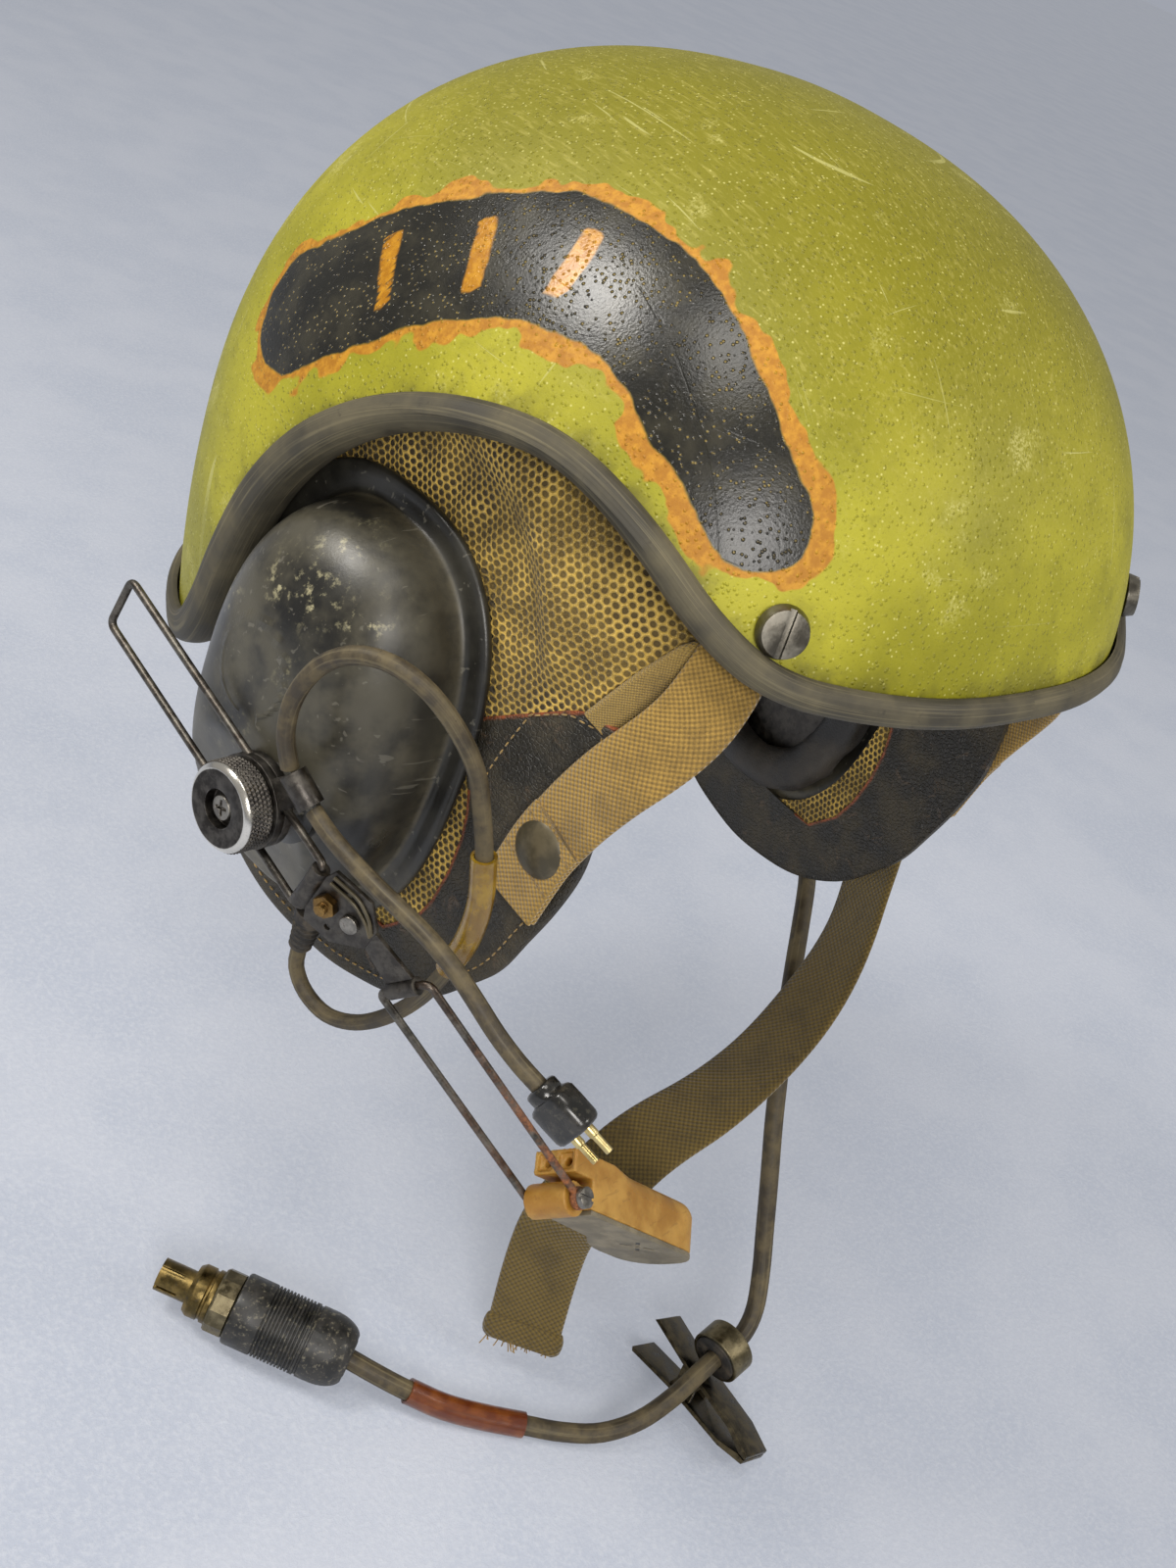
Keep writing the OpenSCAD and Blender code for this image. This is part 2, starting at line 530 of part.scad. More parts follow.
// Plug of the microphone lead, with its two brass pins
mic_plug_len = 14;
module at_mic_plug() {
    n = len(mic_run_route);
    e = mic_run_route[n - 1];
    d = unit(e - mic_run_route[n - 2]);
    at_cup() translate(e) rotate([0, acos(d[2]), atan2(d[1], d[0])]) children();
}
pin_d = 2;
pin_gap = 5.6;
module mic_plug() {
    color(cup_black) at_mic_plug() difference() {
        union() {
            translate([0, 0, 0.1]) cylinder(h = 3, d = 8.4, $fn = 32);
            translate([-4.2, -6.2, 3.1]) cube([8.4, 12.4, mic_plug_len - 3.1]);
        }
        for (s = [-1, 1]) translate([0, s * pin_gap / 2, mic_plug_len - 4])
            cylinder(h = 9, d = 2.6 + 2 * run_gap, $fn = 24);
    }
}
module mic_plug_pins() {
    color(brass) at_mic_plug() for (s = [-1, 1]) translate([0, s * pin_gap / 2, mic_plug_len - 3.9]) {
        cylinder(h = 6.4, d = 2.6, $fn = 24);
        cylinder(h = 11.4, d = pin_d, $fn = 24);
    }
}

// Main lead: out of the left cup, down beside the chin and along the ground to its plug
ground_z = -260;
main_route = [[113, -33, -103], [111, -38, -110], [105.5, -47, -117.5], [96, -58, -126.5], [85, -70, -136],
    [76, -81, -146], [69, -92, -158], [64, -102, -171], [61, -112, -186], [59.5, -121, -202],
    [58, -129, -216], [54.8, -135.6, -227], [48.5, -139.2, -233.4], [39.1, -140, -235.9],
    [28, -141.4, -238.6], [16, -142.5, -244.6], [4, -141.6, -250.8], [-8, -137.6, -255], [-19, -130.8, -256.7],
    [-30, -122.4, -256.8], [-41, -113.8, -256.8], [-51.5, -105.2, -255.8], [-61, -96.4, -253],
    [-69, -88.4, -250], [-76, -79, -248.3]];
main_sleeve_range = [19, 22];
module main_lead() { color(lead_brown) tube(main_route, cord_d, 10); }
module main_lead_sleeve() {
    part = [for (i = [main_sleeve_range[0]:main_sleeve_range[1]]) main_route[i]];
    color(amber) hose(part, cord_d + 2, cord_d + 0.6, 10);
}
module main_lead_gland() {
    d = unit(main_route[1] - main_route[0]);
    color(rubber_grey) translate(main_route[0]) rotate([0, acos(d[2]), atan2(d[1], d[0])])
        difference() {
            translate([0, 0, -12]) cylinder(h = 13, d1 = 13, d2 = 9, $fn = 32);
            translate([0, 0, -3]) cylinder(h = 9, d = cord_d + 2 * gap, $fn = 32);
        }
}

// Plug on the end of the main lead, its axis along the ground from the lead to the nose
boot_len = 14;
ribbed_len = 24;
ring_len = 7;
collar_len = 8;
ribs = 9;
module at_plug() {
    n = len(main_route);
    e = main_route[n - 1];
    translate(e) rotate([0, 90, atan2(main_route[n - 1][1] - main_route[n - 2][1],
        main_route[n - 1][0] - main_route[n - 2][0])]) children();
}
module plug_boot() {
    color(cup_black) at_plug() rotate_extrude($fn = 48) polygon(concat(
        [[cord_d / 2 + gap, 2], [cord_d / 2 + gap, -2], [plug_d * 0.28, -2]],
        [for (a = [10:20:90]) [plug_d * (0.28 + 0.22 * sin(a)), -2 + (boot_len - 4) * (1 - cos(a))]],
        [[plug_d / 2, boot_len], [0, boot_len], [0, 2]]));
}
module plug_coupling() {
    z0 = boot_len + 0.05;
    pitch = (ribbed_len - 7) / ribs;
    color(cup_black) at_plug() {
        rotate_extrude($fn = 48) polygon(concat([[0, z0], [plug_d / 2, z0]],
            [for (i = [0:ribs - 1]) each [[plug_d / 2, z0 + i * pitch + pitch * 0.15],
                [plug_d / 2 - 0.7, z0 + (i + 0.5) * pitch], [plug_d / 2, z0 + i * pitch + pitch * 0.85]]],
            [[plug_d / 2, z0 + ribbed_len - 0.6], [plug_d / 2 - 0.6, z0 + ribbed_len], [0, z0 + ribbed_len]]));
        translate([0, 0, z0 + ribbed_len]) cylinder(h = ring_len, d = plug_d * 0.9, $fn = 12);
    }
}
module plug_nose() {
    z0 = boot_len + ribbed_len + ring_len + 0.1;
    color(brass) at_plug() difference() {
        rotate_extrude($fn = 48) polygon([[0, z0], [8.6, z0], [8.6, z0 + 1.6], [7.9, z0 + 2], [7.9, z0 + 2.6],
            [8.5, z0 + 3], [8.5, z0 + 6.4], [7.4, z0 + collar_len], [nose_d / 2, z0 + collar_len],
            [nose_d / 2, z0 + collar_len + nose_len], [0, z0 + collar_len + nose_len]]);
        for (k = [0:4]) rotate(72 * k + 18) translate([nose_d / 2, 0, z0 + collar_len + nose_len])
            cube([1.6, 1.2, nose_len * 1.4], center = true);
    }
}

// Clothing clip on the main lead: a band round a bush, two levers on a pin
clip_turn = -91;
clip_lean = -22;
clip_at = [33, -140, -250.2];
module at_clip() { translate(clip_at) rotate([0, 0, clip_turn]) rotate([clip_lean, 0, 0]) children(); }
collar_i = 13;
module at_collar() {
    d = unit(main_route[collar_i + 1] - main_route[collar_i - 1]);
    translate(main_route[collar_i]) rotate([0, acos(d[2]), atan2(d[1], d[0])]) children();
}

// Pivot stack on the right cup: boss, stud, clamp plates, thumb nut
stud_at = [16, -14];
boss_d = 20;
boss_foot = 12;
boss_top = 29.2;
wire_z = boss_top + gap + clamp_t;
nut_z = wire_z + clamp_t + gap;
boom_droop = 14;
module at_stud() { at_cup() translate([stud_at[0], stud_at[1], 0]) children(); }
module at_boom() { at_stud() translate([0, 0, wire_z]) rotate(-boom_droop) children(); }
module pivot_stud() {
    color(steel) at_stud() {
        translate([0, 0, boss_foot + 4]) cylinder(h = nut_z + 4 - boss_foot - 4, d = stud_d, $fn = 40);
    }
}
wire_slot = wire_d + 0.2;
module clamp_half(z0, z1) {
    difference() {
        translate([0, 0, z0]) cylinder(h = z1 - z0, d = nut_d + 1.2, $fn = 56);
        translate([0, 0, -20]) cylinder(h = 40, d = stud_d + 2 * run_gap, $fn = 40);
        for (s = [-1, 1]) translate([0, s * loop_gap / 2, 0])
            cube([2 * nut_d, wire_slot, wire_slot], center = true);
    }
}
module clamp_base() {
    color(steel) at_boom() clamp_half(-clamp_t, -0.03);
}
module clamp_cover() {
    color(steel) at_boom() clamp_half(0.03, clamp_t);
}
module thumb_nut() {
    knurls = 30;
    color(steel) at_stud() translate([0, 0, nut_z]) difference() {
        union() {
            cylinder(h = 0.8, d1 = nut_d - 1.4, d2 = nut_d - 0.2, $fn = 60);
            translate([0, 0, 0.8]) cylinder(h = nut_t - 2, d = nut_d, $fn = 60);
            translate([0, 0, nut_t - 1.2]) cylinder(h = 1.2, d1 = nut_d, d2 = nut_d - 2.4, $fn = 60);
        }
        translate([0, 0, -1]) cylinder(h = 5.4, d = stud_d + 2 * run_gap, $fn = 40);
        translate([0, 0, nut_t - 3]) cylinder(h = 9, d = 10, $fn = 40);
        translate([0, 0, 3]) cylinder(h = 9, d = 3.2, $fn = 24);
        for (k = [0:knurls - 1]) rotate(360 * k / knurls) translate([nut_d / 2, 0, nut_t / 2 - 0.2])
            rotate(45) cube([0.7, 0.7, nut_t - 3], center = true);
    }
}
module thumb_nut_screw() {
    color(steel) at_stud() translate([0, 0, nut_z]) difference() {
        union() {
            translate([0, 0, nut_t - 3 + 0.1]) cylinder(h = 1.9, d1 = 7.6, d2 = 6.2, $fn = 40);
            translate([0, 0, 4.5]) cylinder(h = nut_t - 7.3, d = 3, $fn = 24);
        }
        for (a = [0, 90]) rotate(a + 20) translate([0, 0, nut_t - 1])
            cube([4.2, 0.9, 2], center = true);
    }
}

// Sheet clip that holds the microphone lead to the clamp
lead_clip_at = [34.8, 5, 37.5];
module lead_clip() {
    d = unit(mic_run_route[0] - mic_loop_route[len(mic_loop_route) - 1]);
    from = [stud_at[0], stud_at[1], wire_z];
    side = lead_clip_at - from;
    color(steel) difference() {
        union() {
            at_cup() translate(lead_clip_at) rotate([0, acos(d[2]), atan2(d[1], d[0])])
                cylinder(h = 9, d = mic_cord_d + 2.4, center = true, $fn = 32);
            at_stud() translate([0, 0, wire_z + 1.45]) rotate(atan2(side[1], side[0]))
                translate([nut_d / 2 + 0.65, -4, 0]) cube([norm([side[0], side[1]]) - nut_d / 2 - 2.4, 8, 1]);
        }
        at_cup() translate(lead_clip_at) rotate([0, acos(d[2]), atan2(d[1], d[0])])
            cylinder(h = 20, d = mic_cord_d + 2 * gap, center = true, $fn = 32);
    }
}

// Upper wire loop: closed at its free end, its tips turned into the bracket's rolled edge
hinge_s = 27;
tip_len = 4.4;
module rod(a, b, d) {
    v = b - a;
    translate(a) rotate([0, acos(v[2] / norm(v)), atan2(v[1], v[0])])
        cylinder(h = norm(v), d = d, $fn = 24);
}
module bent_rod(points, d) {
    for (i = [0:len(points) - 2]) rod(points[i], points[i + 1], d);
    for (i = [1:len(points) - 2]) translate(points[i]) sphere(d = d, $fn = 24);
}
module boom_wire() {
    h = loop_gap / 2;
    color(steel) at_boom() bent_rod([[hinge_s, h - tip_len, 0], [hinge_s, h, 0],
        [hinge_s - loop_len, h, 0], [hinge_s - loop_len, -h, 0], [hinge_s, -h, 0],
        [hinge_s, tip_len - h, 0]], wire_d);
}

// Bracket plate, inclined towards the face, with a rolled edge round the wire's tips
bracket_dip = 19;
plate_t = 1.2;
roll_d = wire_d + 2.6;
tilt_s = 13.7;
module at_bracket() { at_boom() translate([hinge_s, 0, 0]) rotate([0, bracket_dip, 0]) children(); }
module boom_bracket() {
    w = loop_gap - wire_d - 2 * gap;
    color(steel) at_bracket() difference() {
        union() {
            rotate([90, 0, 0]) cylinder(h = w, d = roll_d, center = true, $fn = 32);
            translate([0, 0, -plate_t / 2]) linear_extrude(plate_t) polygon([[0, -w / 2], [2.5, -w / 2],
                [3.5, -9.8], [12, -9.8], [bracket_len, -3.6], [bracket_len, 3.6], [15, 9.8],
                [3.5, 9.8], [2.5, w / 2], [0, w / 2]]);
        }
        rotate([90, 0, 0]) cylinder(h = 3 * w, d = wire_d + 2 * run_gap, center = true, $fn = 32);
        translate([6.3, 0, 0]) cylinder(h = 9, d = 3 + 2 * run_gap, center = true, $fn = 24);
        translate([tilt_s, 0, 0]) cylinder(h = 9, d = rivet_d + 2 * run_gap, center = true, $fn = 24);
        for (p = [[9.5, 6.4], [9.5, -6.4]]) translate([p[0], p[1], 0])
            cylinder(h = 9, d = 1.8, center = true, $fn = 20);
    }
}
module bracket_screw() {
    color(brass) at_bracket() translate([6.3, 0, 0]) {
        translate([0, 0, -2.4]) cylinder(h = 7, d = 3, $fn = 24);
        translate([0, 0, plate_t / 2 + 0.05]) cylinder(h = 2.2, d = 6.4, $fn = 6);
        translate([0, 0, -plate_t / 2 - 1.7]) cylinder(h = 1.6, d = 5.6, $fn = 32);
    }
}
module bracket_spring() {
    z = plate_t / 2 + 0.6;
    color(steel) at_bracket() for (dy = [0, 2.2])
        tube([[4, 8.6 - dy, z], [12, 8.6 - dy, z], [17, 5.6 - dy * 0.8, z], [19.5, 2.2 - dy * 0.4, z]], 1, 6);
}

// Elbow: turns on the rivet under the bracket, and carries the lower loop in its rolled end
rivet_d = 3;
elbow_turn = -30;
elbow_dip = 11;
elbow_z = -plate_t / 2 - gap - plate_t / 2;
module at_elbow() { at_bracket() translate([tilt_s, 0, elbow_z]) rotate([0, elbow_dip, elbow_turn]) children(); }
module elbow_plate() {
    color(steel) {
        at_bracket() translate([tilt_s, 0, elbow_z - plate_t / 2]) difference() {
            cylinder(h = plate_t, d = 8.6, $fn = 40);
            translate([0, 0, -1]) cylinder(h = 9, d = rivet_d + 2 * run_gap, $fn = 32);
        }
        at_elbow() difference() {
            union() {
                translate([3.4, 0, -plate_t / 2 - 0.5]) linear_extrude(plate_t)
                    polygon([[0, -2.6], [6, -3], [elbow_len - 3.4, -4.6], [elbow_len - 3.4, 4.6],
                        [6, 3], [0, 2.6]]);
                translate([elbow_len, 0, 0]) rotate([90, 0, 0]) cylinder(h = 9.2, d = roll_d, center = true, $fn = 32);
            }
            translate([elbow_len, 0, 0]) rotate([90, 0, 0])
                cylinder(h = 30, d = wire_d + 2 * run_gap, center = true, $fn = 32);
        }
    }
}
module elbow_rivet() {
    color(steel) at_bracket() translate([tilt_s, 0, 0]) {
        translate([0, 0, elbow_z - plate_t / 2 - 1.3]) cylinder(h = 1.2, d = 5, $fn = 32);
        translate([0, 0, elbow_z - plate_t / 2 - 0.3]) cylinder(h = plate_t - elbow_z + 1, d = rivet_d, $fn = 32);
        translate([0, 0, plate_t / 2 + 0.1]) cylinder(h = 1.2, d = 5, $fn = 32);
    }
}

// Lower wire loop, from the elbow's rolled end to the microphone's barrel
eye_d = 6.4;
module at_arm() { at_elbow() translate([elbow_len, 0, 0]) children(); }
module mic_arm_wire() {
    h = loop_gap / 2;
    color(steel) at_arm() {
        bent_rod([[arm_len, tip_len - h, 0], [arm_len, -h, 0], [0, -h, 0], [0, h, 0],
            [arm_len - eye_d / 2 + 0.5, h, 0]], wire_d);
        translate([arm_len, h, 0]) rotate([90, 0, 0]) difference() {
            cylinder(h = wire_d, d = eye_d, center = true, $fn = 32);
            cylinder(h = 9, d = 3 + 2 * run_gap, center = true, $fn = 24);
        }
    }
}

// Microphone: swivels on the barrel, its slotted face towards +z
mic_dip = 27;
barrel_len = loop_gap - wire_d - 2 * gap;
face_z = 3;
face_t = 1.4;
module at_mic() { at_arm() translate([arm_len, 0, 0]) rotate([0, mic_dip, 0]) children(); }
mic_side = 8.4;
function arc(c, r, a0, a1, n) = [for (k = [0:n]) let (a = a0 + (a1 - a0) * k / n) c + r * [cos(a), sin(a)]];
mic_outline = let (lo = mic_side - mic_w)
    concat([[6, mic_side]], arc([mic_len - 9, mic_side - 9], 9, 90, 0, 6),
        arc([mic_len - 11, lo + 11], 11, 0, -90, 6), arc([mic_len - 18, lo + 24], 24, -95, -135, 5),
        [[6, -5.6]]);
module mic_case() {
    z0 = face_z - mic_t;
    color(ochre) at_mic() difference() {
        union() {
            translate([0, 0, z0]) linear_extrude(mic_t - face_t) polygon(mic_outline);
            translate([-3, -5.6, z0]) cube([9.1, 5.6 + mic_side, 6.6]);
        }
        for (s = [-1, 1]) translate([-3.1, 1.4 + s * 3.4, z0 + 3.3]) rotate([0, 90, 0]) {
            translate([0, 0, -1]) linear_extrude(2.4) square([4.6, 4.8], center = true);
            cylinder(h = 8, d = socket_d, $fn = 24);
        }
        rotate([90, 0, 0]) cylinder(h = 40, d = barrel_d + 2 * gap, center = true, $fn = 40);
    }
}
module mic_face() {
    slot = [3.6, 1.2];
    color([0.45, 0.43, 0.4]) at_mic() translate([0, 0, face_z - face_t + 0.02]) difference() {
        linear_extrude(face_t) polygon(mic_outline);
        rotate([90, 0, 0]) cylinder(h = 40, d = barrel_d + 4 * gap, center = true, $fn = 40);
        translate([mic_len - 21, 0, -1]) {
            cylinder(h = 9, d = 1.4, $fn = 20);
            for (a = [35, 145, 215, 325]) rotate(a) translate([3.6, 0, 0])
                linear_extrude(9) square(slot, center = true);
        }
    }
}
module mic_barrel() {
    color(ochre) at_mic() difference() {
        union() {
            rotate([90, 0, 0]) cylinder(h = barrel_len, d = barrel_d, center = true, $fn = 40);
            translate([2, -barrel_len / 2, -4.2]) cube([4, barrel_len, 4.2]);
        }
        rotate([90, 0, 0]) cylinder(h = 40, d = wire_d + 2 * run_gap, center = true, $fn = 32);
        translate([0, barrel_len / 2 + 1, 0]) rotate([90, 0, 0])
            cylinder(h = 6.2, d = 3 + 2 * run_gap, $fn = 24);
    }
}
module mic_screw() {
    y = loop_gap / 2 + wire_d / 2 + 0.05;
    color(brass) at_mic() rotate([-90, 0, 0]) difference() {
        union() {
            translate([0, 0, y]) cylinder(h = 1.8, d = 5.8, $fn = 32);
            translate([0, 0, barrel_len / 2 - 4.6]) cylinder(h = y - barrel_len / 2 + 4.8, d = 3, $fn = 32);
        }
        translate([0, 0, y + 1.8]) cube([8, 0.9, 1.4], center = true);
    }
}

module clip_lever(sign) {
    tab = clip_len * 0.42;
    jaw = clip_len * 0.58;
    t = 1.2;
    open = 4.2;
    pts = [[-tab, sign * 6.6], [-tab + 1, sign * 6.6 + sign * t], [-4, sign * (open + t)], [jaw - 10, sign * (open - 1.2 + t)],
        [jaw, sign * t * 1.4], [jaw, sign * 0.2], [jaw - 3, sign * 0.2], [jaw - 11, sign * (open - 1.4)], [-4, sign * open]];
    difference() {
        union() {
            rotate([90, 0, 0]) linear_extrude(clip_w, center = true) polygon(pts);
            for (s = [-1, 1]) translate([0, s * (clip_w / 2 - (sign > 0 ? 0.6 : 2.1)), 0]) rotate([90, 0, 0])
                linear_extrude(1.2, center = true) polygon([[-5, sign * open], [5, sign * open], [3, -2.8 * sign], [-3, -2.8 * sign]]);
        }
        rotate([90, 0, 0]) cylinder(h = 40, d = 2.6 + 2 * run_gap, center = true, $fn = 24);
    }
}
module clip_lower_lever() { color(brass) at_clip() clip_lever(-1); }
module clip_upper_lever() { color(brass) at_clip() clip_lever(1); }
module clip_pin() {
    color(steel) at_clip() rotate([90, 0, 0]) cylinder(h = clip_w + 2, d = 2.6, center = true, $fn = 24);
}
module clip_collar() {
    color(brass) at_collar() difference() {
        cylinder(h = 9, d = 19, center = true, $fn = 48);
        cylinder(h = 20, d = 16.4, center = true, $fn = 48);
    }
}
module clip_bush() {
    color(rubber_grey) at_collar() difference() {
        cylinder(h = 10, d = 16.2, center = true, $fn = 48);
        cylinder(h = 20, d = cord_d + 2 * gap, center = true, $fn = 32);
    }
}

shell();
edge_trim();
shell_screws();
liner_posts();
liner_cap();
liner_binding();
brow_pad();
crown_pad();
nape_pad();
ear_surround_right();
ear_surround_left();
front_strap_right();
front_strap_left();
strap_snaps();
chin_strap();
chin_strap_tip();
ear_cup_right();
ear_cup_left();
ear_seal_right();
ear_seal_left();
earphone_right();
earphone_left();
mic_lead_gland();
main_lead_gland();
pivot_stud();
mic_lead_loop();
mic_lead_sleeve();
main_lead();
main_lead_sleeve();
plug_boot();
plug_coupling();
plug_nose();
clip_collar();
clip_bush();
clip_lower_lever();
clip_pin();
clip_upper_lever();
clamp_base();
clamp_cover();
lead_clip();
mic_lead_run();
mic_plug();
mic_plug_pins();
thumb_nut();
thumb_nut_screw();
boom_wire();
boom_bracket();
bracket_screw();
bracket_spring();
elbow_plate();
elbow_rivet();
mic_arm_wire();
mic_case();
mic_face();
mic_barrel();
mic_screw();
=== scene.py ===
"""Looks of a tank crew helmet with ear cups, a wire boom microphone and a plug lead.

Sizes here are millimetres, as in the part's source, and they turn to metres where a mesh is made.
The camera, the floor, the lamps and the named inputs of the Geometry Nodes trees are in metres.
"""

import json
import math

import bpy
import numpy as np
from mathutils import Matrix, Vector


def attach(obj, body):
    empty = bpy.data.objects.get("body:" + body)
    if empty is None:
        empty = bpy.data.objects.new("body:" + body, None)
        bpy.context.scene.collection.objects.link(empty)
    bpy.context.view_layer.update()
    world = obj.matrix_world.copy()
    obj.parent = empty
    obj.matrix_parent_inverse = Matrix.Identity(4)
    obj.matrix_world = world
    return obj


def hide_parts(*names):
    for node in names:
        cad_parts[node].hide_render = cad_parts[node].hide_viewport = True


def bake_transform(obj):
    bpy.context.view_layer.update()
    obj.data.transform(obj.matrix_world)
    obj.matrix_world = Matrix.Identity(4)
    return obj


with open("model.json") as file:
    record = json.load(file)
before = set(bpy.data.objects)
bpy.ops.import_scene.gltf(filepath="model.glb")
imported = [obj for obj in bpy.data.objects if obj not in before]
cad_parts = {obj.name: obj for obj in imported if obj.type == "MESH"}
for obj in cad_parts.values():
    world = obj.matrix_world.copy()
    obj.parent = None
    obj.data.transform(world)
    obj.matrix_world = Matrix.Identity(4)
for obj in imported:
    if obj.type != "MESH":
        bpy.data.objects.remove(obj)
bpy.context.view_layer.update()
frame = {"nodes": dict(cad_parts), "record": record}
scene = bpy.context.scene
rng = np.random.default_rng(7)
FULL_TURN = 2 * math.pi


# Places and vectors
def moved(x, y, z):
    m = np.eye(4)
    m[:3, 3] = x, y, z
    return m


def turned(x=0.0, y=0.0, z=0.0):
    """Turn about x, then y, then z, in degrees."""
    m = np.eye(4)
    for angle, i, j in ((z, 0, 1), (y, 2, 0), (x, 1, 2)):
        c, s = math.cos(math.radians(angle)), math.sin(math.radians(angle))
        r = np.eye(4)
        r[i, i], r[i, j], r[j, i], r[j, j] = c, -s, s, c
        m = m @ r
    return m


def put(m, points):
    return np.asarray(points, float) @ m[:3, :3].T + m[:3, 3]


def lengths(v):
    return np.linalg.norm(v, axis=-1)


def unit(v):
    return np.asarray(v, float) / lengths(v)[..., None]


def along(start, way):
    """Frame at start whose z axis points along way."""
    d = unit(way)
    return moved(*start) @ turned(0, math.degrees(math.acos(d[2])), math.degrees(math.atan2(d[1], d[0])))


def circle(sides):
    return np.arange(sides) / sides * FULL_TURN


def squared(x, power):
    """Sine or cosine of a turn, with its power taken and its sign kept."""
    return np.sign(x) * np.abs(x) ** power


def step(x):
    x = np.clip(x, 0, 1)
    return x * x * (3 - 2 * x)


right_cup = moved(-106.6, -7, -38) @ turned(90, 0, -84)
left_cup = np.diag([-1.0, 1, 1, 1]) @ right_cup
cups = (("right", 1, right_cup), ("left", -1, left_cup))
stud = right_cup @ moved(16, -14, 0)
boom = stud @ moved(0, 0, 32) @ turned(0, 0, -14)
bracket = boom @ moved(27, 0, 0) @ turned(0, 19, 0)
elbow = bracket @ moved(13.7, 0, -1.5) @ turned(0, 11, -30)
arm = elbow @ moved(23, 0, 0)
mic = arm @ moved(78, 0, 0) @ turned(0, 27, 0)


# Camera and the short ways to add things
FILM_WIDTH, FOCAL_LENGTH, NEAREST, FARTHEST = 36.0, 38.4175, 0.01, 30
CAMERA_PLACE = ((0.71274541, 0.13125776, -0.68903221, -0.36283098),
                (-0.60581192, 0.61031576, -0.51039847, -0.28581305),
                (0.35353345, 0.78120809, 0.51451727, 0.19377435), (0, 0, 0, 1))


def linked(name, data):
    thing = bpy.data.objects.new(name, data)
    scene.collection.objects.link(thing)
    return thing


def set_camera():
    lens = bpy.data.cameras.new("photo_camera")
    lens.sensor_width, lens.lens = FILM_WIDTH, FOCAL_LENGTH
    lens.clip_start, lens.clip_end = NEAREST, FARTHEST
    camera = linked("photo_camera", lens)
    camera.matrix_world = Matrix(CAMERA_PLACE)
    scene.camera = camera


set_camera()


def add_node(tree, kind, inputs=(), out=0, **settings):
    """A node in a tree: an input is a value or an output of another node."""
    node = tree.nodes.new(kind)
    for key, value in settings.items():
        setattr(node, key, value)
    for key, value in dict(inputs).items():
        if isinstance(value, bpy.types.NodeSocket):
            tree.links.new(value, node.inputs[key])
        else:
            node.inputs[key].default_value = value
    return node.outputs[out]


# Materials
def srgb(*colour):
    """Linear colour of red, green and blue from 0 to 255."""
    return tuple(((c / 255 + 0.055) / 1.055) ** 2.4 if c > 10 else c / 255 / 12.92 for c in colour) + (1.0,)


def scaled(colour, by):
    """A linear colour, lighter or darker than red, green and blue from 0 to 255."""
    return tuple(min(1, by * c) for c in srgb(*colour)[:3]) + (1,)


